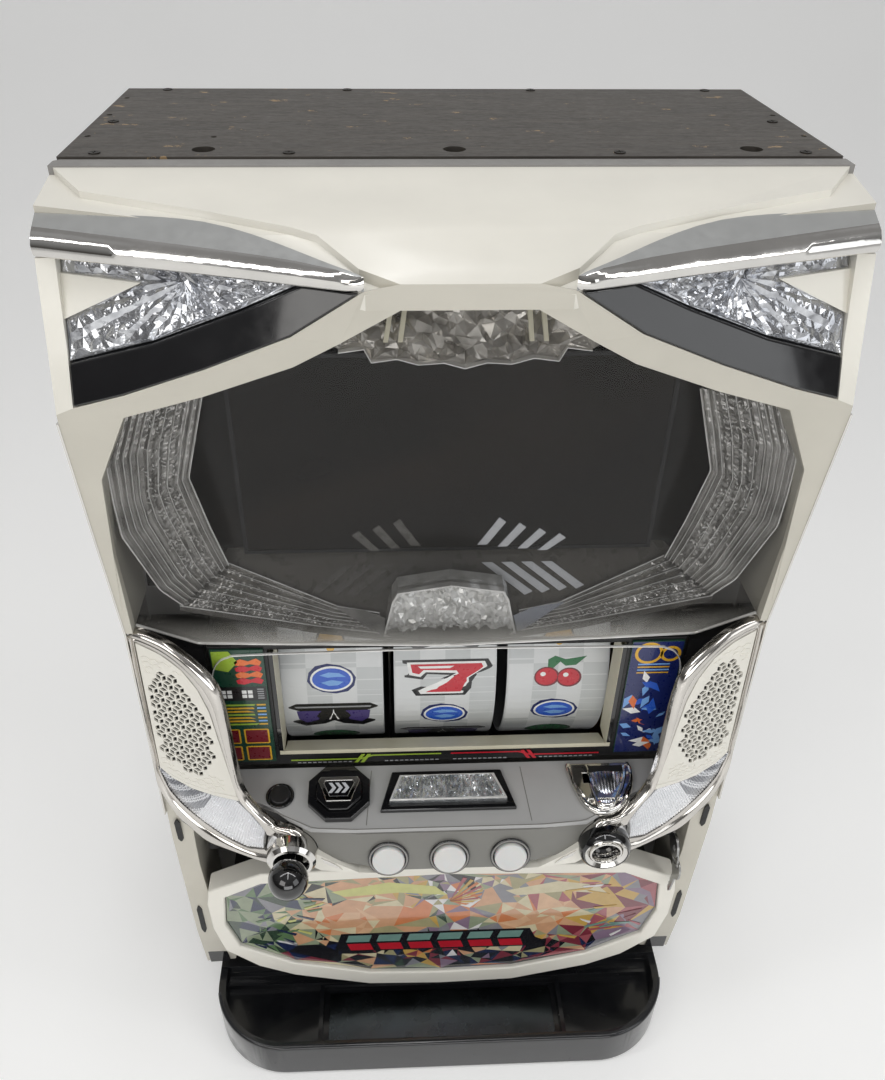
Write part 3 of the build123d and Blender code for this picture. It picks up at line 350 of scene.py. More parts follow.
class Nodes:
    """A small builder for a shader's node tree, fed by one kind of coordinates."""

    def __init__(self, owner, shader, coordinates):
        owner.use_nodes = True
        self.t = owner.node_tree
        self.s = self.t.nodes[shader]
        self.coord = self.t.nodes.new("ShaderNodeTexCoord").outputs[coordinates]

    def link(self, a, b):
        self.t.links.new(a, b)

    def node(self, kind, **values):
        n = self.t.nodes.new("ShaderNode" + kind)
        for k, v in values.items():
            n.inputs[k.replace("_", " ")].default_value = v
        return n

    def stretched(self, sx, sy, sz):
        n = self.t.nodes.new("ShaderNodeMapping")
        n.inputs["Scale"].default_value = (sx, sy, sz)
        self.link(self.coord, n.inputs["Vector"])
        return n.outputs["Vector"]

    def height(self):
        n = self.t.nodes.new("ShaderNodeSeparateXYZ")
        self.link(self.coord, n.inputs[0])
        return n.outputs["Z"]

    def noise(self, scale, detail=4.0, vector=None, roughness=0.55):
        n = self.node("TexNoise", Scale=scale, Detail=detail, Roughness=roughness)
        self.link(vector or self.coord, n.inputs["Vector"])
        return n.outputs["Fac"]

    def voronoi(self, scale):
        n = self.node("TexVoronoi", Scale=scale)
        self.link(self.coord, n.inputs["Vector"])
        return n.outputs["Distance"]

    def ramp(self, fac, stops):
        n = self.t.nodes.new("ShaderNodeValToRGB")
        e = n.color_ramp.elements
        while len(e) < len(stops):
            e.new(0.5)
        for element, (pos, colour) in zip(e, stops):
            element.position = pos
            element.color = colour
        self.link(fac, n.inputs["Fac"])
        return n.outputs["Color"]

    def span(self, fac, low, high, start=0.0, end=1.0):
        n = self.node("MapRange")
        n.inputs["From Min"].default_value = start
        n.inputs["From Max"].default_value = end
        n.inputs["To Min"].default_value = low
        n.inputs["To Max"].default_value = high
        self.link(fac, n.inputs["Value"])
        return n.outputs["Result"]

    def mix(self, fac, a, b, blend="MIX"):
        n = self.t.nodes.new("ShaderNodeMix")
        n.data_type = "RGBA"
        n.blend_type = blend
        for socket, value in ((n.inputs[0], fac), (n.inputs[6], a), (n.inputs[7], b)):
            if isinstance(value, (tuple, float, int)):
                socket.default_value = value
            else:
                self.link(value, socket)
        return n.outputs[2]

    def math(self, op, a, b=0.0):
        n = self.t.nodes.new("ShaderNodeMath")
        n.operation = op
        for socket, value in zip(n.inputs, (a, b)):
            if isinstance(value, (float, int)):
                socket.default_value = value
            else:
                self.link(value, socket)
        return n.outputs[0]

    def bump(self, height, strength=0.2, distance=0.0005, normal=None):
        n = self.node("Bump", Strength=strength, Distance=distance)
        self.link(height, n.inputs["Height"])
        if normal is not None:
            self.link(normal, n.inputs["Normal"])
        return n.outputs["Normal"]

    def set(self, **values):
        for k, v in values.items():
            socket = self.s.inputs[k.replace("_", " ")]
            if isinstance(v, (tuple, float, int)):
                socket.default_value = v
            else:
                self.link(v, socket)


class Paint(Nodes):
    """A procedural material around one Principled shader."""

    def __init__(self, name):
        self.m = bpy.data.materials.new(name)
        super().__init__(self.m, "Principled BSDF", "Object")


def plain(name, colour, rough, mottle=0.06, scale=60, grain=900, bump=0.08, spread=0.08, **more):
    """Moulded or painted finish: soft colour variation, uneven gloss and a fine surface texture."""
    p = Paint(name)
    big = p.noise(scale)
    fine = p.noise(grain, 2.0)
    p.set(Base_Color=p.ramp(big, [(0.3, lighter(colour, 1 - mottle)), (0.7, lighter(colour, 1 + mottle))]),
          Roughness=p.span(p.noise(scale * 2.7), rough - spread, rough + spread, 0.3, 0.7),
          Normal=p.bump(fine, bump, 0.0002), **more)
    return p.m


def metal(name, colour, rough, wave=0.02, grain=700, smudge=0.05, **more):
    """Plated or painted metal with smudges and slight waviness."""
    p = Paint(name)
    dirt = p.noise(35, 6.0)
    wavy = p.noise(55, 2.0)
    fine = p.noise(grain, 2.0)
    normal = p.bump(wavy, wave * 10, 0.0006, p.bump(fine, wave * 2, 0.0001))
    p.set(Base_Color=p.ramp(dirt, [(0.25, lighter(colour, 0.86)), (0.75, colour)]), Metallic=1.0,
          Roughness=p.span(dirt, rough, rough + smudge, 0.35, 0.75), Normal=normal, **more)
    return p.m


IVORY = plain("ivory_plastic", rgb(229, 226, 216), 0.34, 0.025, 24, 1400, 0.05, 0.05,
              Coat_Weight=0.25, Coat_Roughness=0.18)
# A darker copy of the ivory plastic: painted shade on the cover's downward and lower faces and on the side
# legs.
SHADED_IVORY = plain("ivory_painted_shade", rgb(198, 194, 182), 0.38, 0.03, 24, 1400, 0.05, 0.05)
GREY_FRAME = plain("frame_grey_paint", rgb(136, 134, 131), 0.45, 0.05, 40, 900, 0.1)
SILVER = plain("silver_paint", rgb(176, 177, 176), 0.34, 0.03, 60, 2600, 0.12, 0.06, Metallic=0.5)
CHROME = metal("chrome_plate", rgb(226, 224, 220), 0.05, 0.035, 900, 0.07)
CHROME_SOFT = metal("chrome_trim", rgb(214, 210, 204), 0.09, 0.05, 900, 0.08)
STEEL = metal("zinc_steel", rgb(170, 170, 168), 0.3, 0.03, 900, 0.15)
GLOSS_BLACK = plain("gloss_black", rgb(22, 22, 24), 0.09, 0.2, 30, 500, 0.02, 0.04, Coat_Weight=0.6,
                    Coat_Roughness=0.04)
BLACK = plain("black_plastic", rgb(30, 30, 31), 0.34, 0.2, 60, 1200, 0.15, 0.08)
# Near-black for the lower light box, the screen bezel and the grille cloth, and painted shade inside the
# slots of the legs and the medal inlet.
BLACK_AND_HOLE_SHADE = plain("black_and_recess_shade", rgb(16, 16, 17), 0.5, 0.2, 60, 900, 0.1)
TRAY = plain("tray_black", rgb(24, 25, 28), 0.2, 0.25, 28, 900, 0.06, 0.08, Coat_Weight=0.4,
             Coat_Roughness=0.1)
RUBBER = plain("black_knob", rgb(14, 14, 15), 0.1, 0.2, 60, 500, 0.02, 0.04, Coat_Weight=0.8,
               Coat_Roughness=0.05)
DECK_PAINT = plain("deck_grey", rgb(174, 174, 173), 0.42, 0.03, 30, 1600, 0.12, 0.05)
FACE_PAINT = plain("deck_front_grey", rgb(122, 121, 116), 0.42, 0.03, 30, 1600, 0.12, 0.05)
CREAM = plain("cream_ledge", rgb(210, 205, 182), 0.4, 0.04, 50, 1200, 0.06)
PLATE_DARK = metal("tray_steel", rgb(86, 92, 96), 0.22, 0.03, 900, 0.12)
WOOD_EDGE = plain("raw_board_edge", rgb(150, 118, 82), 0.7, 0.2, 120, 1400, 0.3)
PAPER = plain("reel_paper", rgb(216, 218, 218), 0.42, 0.015, 40, 1600, 0.04)
PAPER_GREY = plain("reel_paper_grey", rgb(198, 201, 201), 0.42, 0.02, 40, 1600, 0.04)
INSIDE = plain("inner_case", rgb(60, 70, 66), 0.4, 0.1, 60, 900, 0.1)
CASE = plain("clear_case", rgb(186, 196, 196), 0.2, 0.08, 60, 900, 0.05, Alpha=0.45)


INK = {k: plain("ink_" + k, rgb(*v), 0.3, 0.05, 120, 1500, 0.03, 0.05, Coat_Weight=0.5, Coat_Roughness=0.08)
       for k, v in {
    "black": (22, 22, 24), "navy": (22, 34, 92), "blue": (44, 92, 196), "sky": (120, 168, 226),
    "white": (238, 238, 236), "red": (196, 24, 44), "wine": (110, 20, 34), "green": (24, 108, 58),
    "lime": (150, 178, 60), "gold": (216, 166, 40), "orange": (222, 110, 48), "grey": (150, 152, 154),
    "forest": (18, 62, 46), "teal": (92, 128, 118), "violet": (74, 62, 120)}.items()}
INK_AT = {k: i for i, k in enumerate(INK)}

PANEL_INK = {k: plain("panel_" + k, rgb(*v), 0.12, 0.09, 90, 1500, 0.02, 0.05, Coat_Weight=1.0,
                      Coat_Roughness=0.04) for k, v in {
    "black": (26, 26, 30), "navy": (30, 40, 72), "forest": (48, 66, 52), "green": (86, 112, 78),
    "sage": (132, 142, 118), "olive": (150, 144, 108), "lime": (186, 186, 112), "cream": (194, 184, 152),
    "skin": (190, 146, 112), "peach": (200, 162, 128), "orange": (190, 116, 72), "gold": (182, 148, 76),
    "rose": (150, 78, 86), "wine": (112, 44, 56), "red": (170, 30, 44), "violet": (124, 104, 124),
    "grey": (122, 122, 128), "white": (206, 204, 204), "teal": (104, 136, 128)}.items()}


def laminate():
    """Dark printed board with fine grain, scuffs and flecks of bare wood."""
    p = Paint("dark_laminate")
    grain = p.noise(70, 6.0, p.stretched(0.22, 2.4, 1.0), 0.7)
    base = p.ramp(grain, [(0.25, rgb(46, 42, 38)), (0.6, rgb(74, 69, 63)), (0.85, rgb(102, 95, 87))])
    scuff = p.noise(260, 3.0, p.stretched(0.5, 1.6, 1.0), 0.8)
    worn = p.ramp(scuff, [(0.66, (0, 0, 0, 1)), (0.74, (1, 1, 1, 1))])
    base = p.mix(p.math("MULTIPLY", worn, 0.35), base, rgb(112, 100, 88))
    spots = p.noise(46, 5.0, p.stretched(1.0, 1.6, 1.0), 0.68)
    fleck = p.ramp(spots, [(0.655, (0, 0, 0, 1)), (0.665, (1, 1, 1, 1))])
    base = p.mix(fleck, base, rgb(156, 130, 94))
    p.set(Base_Color=base, Roughness=p.span(scuff, 0.42, 0.62, 0.3, 0.7),
          Normal=p.bump(grain, 0.25, 0.0003, p.bump(fleck, -0.3, 0.0004)))
    return p.m


LAMINATE = laminate()


def crystal(name, colour, dark, metallic, rough, alpha=1.0, scale=500, bump=0.5, spread=(0.3, 0.7)):
    """Clear moulded plastic over a bright backing: sharp facets, sparkle and depth variation."""
    p = Paint(name)
    cells = p.voronoi(scale)
    cloud = p.noise(scale * 0.13, 5.0)
    p.set(Base_Color=p.ramp(cloud, [(spread[0], dark), (spread[1], colour)]), Metallic=metallic,
          Roughness=p.span(cells, rough * 0.5, rough * 1.6), Alpha=alpha,
          Normal=p.bump(cells, bump, 0.0003), Coat_Weight=1.0, Coat_Roughness=0.03)
    return p.m


LENS_SILVER = crystal("lens_silver", rgb(226, 228, 232), rgb(150, 152, 158), 0.82, 0.14)
LAMP_CLEAR = crystal("side_lamp_clear", rgb(236, 237, 240), rgb(214, 216, 220), 0.2, 0.2, 1.0, 300, 0.04)
# A darker copy of the clear lamp material: painted shade on the side lamps' ribs.
LAMP_RIB_SHADE = crystal("side_lamp_rib_shade", rgb(150, 152, 158), rgb(118, 120, 126), 0.2, 0.2, 1.0, 300, 0.04)
GUIDE_CLEAR = crystal("guide_clear", rgb(176, 174, 170), rgb(104, 102, 98), 0.5, 0.12, 1.0, 260, 0.12)
SHELF_GREY = plain("screen_surround", rgb(86, 83, 78), 0.3, 0.08, 30, 900, 0.05)
CROWN_CLEAR = crystal("crown_clear", rgb(206, 202, 194), rgb(122, 117, 110), 0.5, 0.08, 1.0, 420, 0.3)
GEM_CLEAR = crystal("gem_clear", rgb(250, 250, 248), rgb(206, 206, 202), 0.4, 0.1, 1.0, 620, 0.4)
PUSH_CLEAR = crystal("push_clear", rgb(240, 242, 244), rgb(150, 156, 160), 0.75, 0.1, 1.0, 700, 0.4)
# Near-white clear plastic for ridges along edges and ribs: painted highlights.
EDGE_HIGHLIGHT = crystal("clear_edge_highlight", rgb(244, 244, 242), rgb(206, 204, 200), 0.3, 0.1, 1.0, 300, 0.05)
TIP_SILVER = metal("guide_tip_silver", rgb(226, 230, 240), 0.16, 0.02, 900, 0.05)
# Lit and dim copies of one grey: painted reflections on the screen and shelf; the lit one also colours the
# bet button's chevrons.
BAR_LIT = plain("bar_lit", rgb(206, 208, 212), 0.3, 0.06, 60, 900, 0.05)
BAR_DIM = plain("bar_dim", rgb(92, 90, 86), 0.3, 0.06, 60, 900, 0.05)
SCREW_DARK = metal("screw_dark", rgb(60, 56, 52), 0.4, 0.03, 900, 0.15)
MILKY = plain("milky_cap", rgb(208, 208, 206), 0.2, 0.02, 60, 900, 0.02, 0.04, Coat_Weight=0.5,
              Coat_Roughness=0.05, Subsurface_Weight=0.2, Subsurface_Scale=0.004)


def smoked():
    """Glossy clear cover with a faint tint, haze and dust, and a painted reflection that turns its lower band
    light grey.
    """
    p = Paint("smoked_cover")
    haze = p.noise(14, 3.0)
    dust = p.noise(1500, 2.0)
    # Towards the bottom, below 0.507 m and fully below 0.481 m, the cover turns light grey and less clear: a
    # painted reflection.
    low = p.span(p.height(), 1.0, 0.0, 0.481, 0.507)
    tint = p.ramp(haze, [(0.3, rgb(20, 19, 17)), (0.7, rgb(30, 28, 25))])
    p.set(Base_Color=p.mix(low, tint, rgb(166, 164, 158)),
          Roughness=p.span(dust, 0.03, 0.08, 0.4, 0.8), Alpha=p.span(low, 0.15, 0.58), IOR=1.6,
          Normal=p.bump(haze, 0.04, 0.002))
    return p.m


def screen_glass():
    """Unlit display: warm black, with the soft shapes of a dim room painted into its colour as reflections.
    """
    p = Paint("screen_glass")
    cloud = p.noise(7, 2.0)
    # Painted reflection of a dim room, mixed in where the cloud mask lets it through.
    room = p.ramp(p.noise(4.2, 0.5),
                  [(0.44, rgb(14, 12, 11)), (0.49, rgb(38, 31, 25)), (0.62, rgb(24, 22, 20))])
    p.set(Base_Color=p.mix(p.ramp(cloud, [(0.3, (0, 0, 0, 1)), (0.7, (1, 1, 1, 1))]), room, rgb(28, 26, 23)),
          Roughness=p.span(p.noise(120), 0.1, 0.18, 0.3, 0.7), Specular_IOR_Level=0.22,
          Normal=p.bump(p.noise(800), 0.03, 0.0001))
    return p.m


SMOKED = smoked()
SCREEN = screen_glass()

NODE_FINISH = {
    LAMINATE: ("cabinet_top_board", "cabinet_bottom_board", "cabinet_side_boards", "cabinet_back_board"),
    STEEL: ("hinge_brackets", "lock_strikers", "reel_frame", "hopper_disc", "lever_gimbal", "lock_bar",
            "lock_key"),
    WOOD_EDGE: ("reel_shelf",), CASE: ("main_board_case",), INSIDE: ("power_box", "medal_selector"),
    BLACK: ("reel_motors", "hopper_base", "speakers", "recess_panel", "bet_button"),
    GREY_FRAME: ("door_frame", "hopper_tank"),
    PAPER: ("reel_left", "reel_centre", "reel_right"),
    CHROME: ("lever_bezel", "return_bezel", "lock_body", "side_trims"),
    RUBBER: ("start_lever",), GLOSS_BLACK: ("return_button",), SCREEN: ("screen_unit",),
    MILKY: ("stop_button_left", "stop_button_centre", "stop_button_right"), BLACK_AND_HOLE_SHADE: ("lower_light_box",)}
for material, names in NODE_FINISH.items():
    for name in names:
        NODES[name].data.materials.clear()
        NODES[name].data.materials.append(material)

# ---------------------------------------------------------------- carried-over mouldings
carry("cabinet_top_board", LAMINATE, 0.6)
cover = carry("upper_cover", [IVORY, SHADED_IVORY], 0.9, 3)
# Faces that point down or lie below 0.7 m take the darker ivory: painted shade.
for f in cover.data.polygons:
    if f.normal.z < 0.0 or f.center.z < 0.7:
        f.material_index = 1
for v in cover.data.vertices:
    x, y, z = (c / MM for c in v.co)
    if z > 776 and -141 < y < -103:
        v.co.z -= 6.5 * MM * min((-103 - y) / 28, (y + 141) / 10)
carry("lamp_strips", GLOSS_BLACK, 1.2, 3)
carry("screen_cover", SMOKED, 0.4)
carry("reel_panel", BLACK, 0.4)
carry("reel_window_frame", CREAM, 0.3, top=467.5)
carry("deck_top", DECK_PAINT, 0.5)
carry("deck_front", FACE_PAINT, 0.5)
carry("button_bezels", GLOSS_BLACK, 0.9, 3)
carry("lower_frame", IVORY, 2.0, 4)
# The side legs are all in the darker ivory: painted shade.
carry("side_legs", SHADED_IVORY, 1.6, 3)
carry("coin_tray", TRAY, 1.2, 3)
carry("tray_plate", PLATE_DARK, 0.4)
carry("medal_inlet", CHROME, 0.8, 3)
carry("max_button", GLOSS_BLACK, 0.6, 2)
carry("info_panels", INK["forest"], 0.3)

# ---------------------------------------------------------------- wing lamps
LENS = front(0.385, 0.43, -478.6)
LENS_CENTRE = (150.0, 769.0)
LENS_OUTLINE = ((224.3, 719.2), (224.3, 741.6), (177.4, 765), (224.3, 764.4), (224.3, 774.3), (88.6, 774.3),
                (121, 758.8), (172, 736.8))
BLADE_BACK = ((236, -53.4), (140, -76.4), (69, -116.4), (54.5, -125.6))
BLADE_FRONT = ((236, -71), (180, -88.6), (121, -107), (82, -120), (62, -126), (54.5, -125.6))
BLADE_INNER = ((236, -62.5), (180, -80), (124, -98), (92, -109), (74, -116.5), (60, -122))


def blade_top(x, y):
    """Height of the blade's top surface above (x, y), in mm."""
    return 793 + 0.5 * (y + 55) + (236 - x) * 0.14


def wing_lamps():
    """Faceted lenses and bright blades of the two upper lamps."""
    bm = bmesh.new()
    points = []
    heights = {}
    rays = 112
    for k in range(rays):
        for m in range(9 if k % 2 else 2, 34):
            a = 2 * math.pi * k / rays + rng.uniform(-0.008, 0.008)
            p = (LENS_CENTRE[0] + 3.1 * m * math.cos(a), LENS_CENTRE[1] + 3.1 * m * math.sin(a))
            if inside(p, LENS_OUTLINE, 0.7):
                points.append(p)
                heights[spot(p)] = (1.3 if k % 4 < 2 else -0.2) + rng.uniform(-0.6, 0.6)
    for _ in range(60):
        p = (rng.uniform(98, 160), rng.uniform(752, 774))
        if inside(p, LENS_OUTLINE, 1.0):
            points.append(p)
            heights[spot(p)] = rng.uniform(-0.8, 1.6)
    verts, faces = cut(LENS_OUTLINE, points)
    rise = [heights.get(spot(p), 0.2) for p in verts]
    for mirror in MIRRORED:
        sheet(bm, LENS, verts, faces, rise, 2.6, 0, mirror)
    put("lamp_lens_facets", bm, LENS_SILVER, replaces="lamp_lenses")

    bm = bmesh.new()
    lines = (BLADE_BACK, BLADE_FRONT, BLADE_INNER)
    back, edge, inner = (resample(smooth_line(line, 6), 40) for line in lines)
    foot = 775.2
    for side in SIDES:
        rows = []
        for p, q, c in zip(back, edge, inner):
            c = c if (p - q).length > 4 else p.lerp(q, 0.5)
            top = blade_top(c.x, c.y)
            drop = min(12.0, top - 777.5)
            bulge = c.lerp(q, 0.55)
            rows.append([at(side * r.x, r.y + dy, z) for r, dy, z in (
                (p, 0, foot), (p, 0, blade_top(p.x, p.y)), (c, 0, top), (bulge, 0, top - 0.22 * drop),
                (q, 0, top - 0.62 * drop), (q, 0, top - drop), (q, 1.5, foot))])
        made = [[bm.verts.new(v) for v in row] for row in rows]
        for a, b in zip(made, made[1:]):
            for i in range(7):
                f = bm.faces.new((a[i], a[(i + 1) % 7], b[(i + 1) % 7], b[i]))
                f.material_index = 0 if i in (0, 1) else 1
        bm.faces.new(made[0]).material_index = 1
        bm.faces.new(made[-1]).material_index = 1
    put("lamp_blade_pair", bm, [SILVER, CHROME], 40, replaces="lamp_blades")


# ---------------------------------------------------------------- screen group
CROWN_FACE, GEM_FACE, SCREEN_FACE = -104, -57, -30  # mm, y of upright faces
GUIDE = front(-0.67, 0, 77.5)
LEDGE = front(0, 0.852, -477.4)
COVER = front(0.06, -0.19, 21.6)
GUIDE_IN = ((164, 672), (179, 615), (171, 570), (163, 532))
GUIDE_OUT = ((210, 676), (222, 644), (222.6, 614), (222, 587), (207, 533), (195.5, 512.5))
ARM_UP = ((163, 529), (83, 503.5), (52, 499.3))
ARM_LOW = ((199, 505.5), (99, 492.8), (52, 488))


def light_guides():
    """Ribbed clear guides beside and under the screen, with painted highlight lines and glints on their ribs,
    and the shelf below it.
    """
    bm = bmesh.new()
    bright = bmesh.new()
    for mirror in MIRRORED:
        wobble = [rng.uniform(-0.5, 0.5) for _ in range(4000)]

        def guide_ribs(i, j):
            return (0.9 if j % 2 else -0.2) + (1.0 if 3 < j < 12 else 0.3) * wobble[i * 31 + j]

        def arm_ribs(i, j):
            return (0.8 if j % 2 else -0.2) + (0.9 if j > 7 else 0.2) * wobble[i * 13 + j]
        strip_grid(bm, GUIDE, GUIDE_IN, GUIDE_OUT, 90, 22, guide_ribs, 3.0, 0, mirror)
        strip_grid(bm, LEDGE, ARM_UP, ARM_LOW, 90, 12, arm_ribs, 2.6, 0, mirror)
        side = -1 if mirror else 1
        # Raised lines along the ribs and short sparks between them, in the bright edge material: painted
        # highlights.
        for place, inner, outer, marks in (
                (GUIDE, GUIDE_IN, GUIDE_OUT, (0.0, 0.09, 0.16, 0.3, 0.42, 0.55, 0.66, 0.74, 0.82, 0.9, 1.0)),
                (LEDGE, ARM_UP, ARM_LOW, (0.0, 0.12, 0.3, 0.45, 0.6, 0.8, 1.0))):
            a, b = resample(inner, 48), resample(outer, 48)
            for t in marks:
                line = [(side * c.x, c.y) for c in (p.lerp(q, t) for p, q in zip(a, b))]
                ridge(bright, place, line, 1.0 if t in (0.0, 1.0) else 0.5, 0.4, 1.9)
            for _ in range(170):
                k = rng.randrange(1, 46)
                t = rng.uniform(0.2, 0.62) if place is GUIDE else rng.uniform(0.55, 0.95)
                p = a[k].lerp(b[k], t)
                q = a[k + 1].lerp(b[k + 1], min(t + rng.uniform(-0.1, 0.1), 0.97))
                q = p.lerp(q, rng.uniform(0.25, 0.7))
                if (q - p).length > 0.4:
                    spark = [(side * p.x, p.y), (side * q.x, q.y)]
                    ridge(bright, place, spark, 0.6, 0.4, rng.uniform(1.5, 2.2))
    put("light_guide_ribs", bm, GUIDE_CLEAR, replaces="light_guides")
    put("light_guide_highlights", bright, EDGE_HIGHLIGHT)

    bm = bmesh.new()
    shelf = both(((0, 484), (52, 484), (99, 488.5), (200, 503), (196, 512), (163, 538.6), (0, 538.6)))
    plate(bm, LEDGE, shelf, -5.6, 1.6)
    put("screen_shelf", bm, SHELF_GREY)
    bm = bmesh.new()
    tip = ((86, 503.4), (63, 501), (47.5, 496.4), (50, 487.5), (56, 489))
    for side, colour in ((-1, 0), (1, 1)):
        plate(bm, LEDGE, sided(side, tip), 3.4, 3.2, colour)
    put("guide_tips", bm, [GUIDE_CLEAR, TIP_SILVER])


def scatter(outline, count, margin):
    """Random points inside an outline."""
    xs, ys = [p[0] for p in outline], [p[1] for p in outline]
    out = []
    while len(out) < count:
        p = (rng.uniform(min(xs), max(xs)), rng.uniform(min(ys), max(ys)))
        if inside(p, outline, margin):
            out.append(p)
    return out


def both(half):
    """An outline from its right half, mirrored at the middle."""
    return [tuple(p) for p in half] + [(-x, z) for x, z in reversed(half) if abs(x) > 1e-6]


def crystals():
    """Clear crown above the screen and gem below it, with painted highlights along their edges."""
    crown = both(((0, 762), (40, 762), (58, 749), (82, 741.5), (70, 735), (56, 737), (52, 729), (38, 731),
                  (26, 727.5), (12, 728.5), (0, 725)))
    bm = bmesh.new()
    verts, faces = cut(crown, scatter(crown, 260, 1.2))
    sheet(bm, flat(CROWN_FACE), verts, faces, lambda u, v: rng.uniform(0.2, 5.8), 15)
    put("crown_facets", bm, CROWN_CLEAR, replaces="crystal_ornaments")
    gem = both(((0, 532.5), (38.6, 526), (42.6, 518), (49.6, 485), (44, 482.8), (0, 482.8)))
    bm = bmesh.new()
    points = [(-47 + 94 * k / 39 + rng.uniform(-0.9, 0.9), z + rng.uniform(-1.1, 1.1)) for k in range(40)
              for z in (486, 489, 492, 495, 498, 501, 504.5, 508, 511.5, 515, 518.5, 522, 525.5, 529)]
    points = [p for p in points if inside(p, gem, 0.8)]
    verts, faces = cut(gem, points)
    sheet(bm, flat(GEM_FACE), verts, faces,
          lambda u, v: rng.uniform(0.0, 3.4) + (1.8 if 494 < v < 516 else 0), 14)
    put("gem_facets", bm, GEM_CLEAR)
    bm = bmesh.new()
    plate(bm, flat(GEM_FACE), gem, 5.4, 2.0, holes=([(x * 0.965, 506 + (z - 506) * 0.95) for x, z in gem],))
    ridge(bm, flat(CROWN_FACE - 2), crown[4:-3], 0.9, 0.5, 4.6)
    put("crystal_edge_highlights", bm, EDGE_HIGHLIGHT)
    bm = bmesh.new()
    for x in (-44, -36, 36, 44):
        plate(bm, flat(CROWN_FACE),
              ((x - 1.3, 741), (x + 1.3, 741), (x * 0.93 + 1.3, 760), (x * 0.93 - 1.3, 760)), 6.4, 6)
    put("crown_posts", bm, CREAM)


def screen_details():
    """Painted room reflections on the screen and the shelf, the cover's lip with its painted highlight, and
    the screen's border.
    """
    bm = bmesh.new()
    screen = flat(SCREEN_FACE - 0.1)
    # The right side's bars take the lit copy and the left side's the dim one: painted reflections of room
    # lights.
    for shade, side in enumerate(SIDES):
        for k in range(4):
            x = 21 + 15 * k
            bar = ((0, 545 - 2 * k), (7, 545 - 2 * k), (20, 565 - 5 * k), (15, 569 - 5 * k))
            if side > 0 or k < 3:
                plate(bm, screen, [(side * (x + dx), z) for dx, z in bar], 0.5, 0.4, shade)
            bar = ((0, 527), (8, 527), (38 - 2 * k, 510 + k), (32 - 2 * k, 508 + k))
            plate(bm, LEDGE, [(side * (x + 4 + dx), z) for dx, z in bar], -5.0, 0.4, shade)
    put("screen_light_bars", bm, [BAR_LIT, BAR_DIM])
    bm = bmesh.new()
    # Both ridges of the lip are in the bright edge material: painted highlights.
    low = [(-230, 499), (-187, 478.6), (0, 482.6), (187, 478.6), (230, 499)]
    ridge(bm, COVER, resample(low, 60), 1.8, -0.6, 1.1)
    rim = [(-188, 432), (-186.5, 446), (-182, 457), (-173, 463.5), (-150, 466), (0, 468), (150, 466),
           (173, 463.5), (182, 457), (186.5, 446), (188, 432)]
    ridge(bm, flat(-62.6), [(q.x * 0.965, q.y + 4) for q in smooth_line(rim, 6)], 1.3, -0.4, 1.0)
    put("cover_lip", bm, EDGE_HIGHLIGHT, 30)
    bm = bmesh.new()
    plate(bm, flat(SCREEN_FACE), rect(-150, 150, 540, 698), 0.4, 0.2, holes=(rect(-147, 147, 543, 695),))
    put("screen_bezel", bm, BLACK_AND_HOLE_SHADE)


# ---------------------------------------------------------------- chrome side frames, grilles and lamps
WING = front(0.392, 0.075, -191.35)
GRILLE = ((231.5, 486), (213, 481), (198, 471), (187.5, 456), (180.5, 436), (177, 414), (173, 388),
          (167.5, 353), (188, 350), (211, 352), (226, 358), (231, 368))
# outer and inner points of the chrome frame, in pairs around it
FRAME_PAIRS = (
    ((122, 285), (150, 299.4)), ((138, 284), (157, 297)), ((154, 283), (165, 295.5)),
    ((178, 283.5), (184, 300.5)), ((199, 285), (201, 310.5)), ((213, 296), (216, 323)),
    ((223, 305), (226.5, 337.5)), ((236, 335), (231.4, 356)), ((236, 372), (231.6, 372)),
    ((236, 430), (232.2, 420)), ((236, 480), (232.2, 484)), ((234, 496), (230, 486.2)),
    ((213, 494), (213, 481.6)), ((198, 486.5), (198, 471.4)), ((184, 475.5), (187.2, 456)),
    ((174, 463), (183, 445)), ((170, 447), (180, 436)), ((168, 420), (176.6, 414)),
    ((166.5, 392), (172.7, 388)), ((163.5, 363), (167.4, 354)), ((155, 346), (163, 344)),
    ((140, 333), (156, 335.6)), ((126, 331.5), (148.5, 323.5)), ((118, 328), (146.4, 318)))


SPEAKER_X, SPEAKER_Z = 207, 414


def in_speaker(x, z, half_width, half_height):
    """True inside the leaning oval of holes in front of the speaker."""
    u, v = x - SPEAKER_X - 0.06 * (z - SPEAKER_Z), z - SPEAKER_Z
    return (u / half_width) ** 2 + (v / half_height) ** 2 <= 1


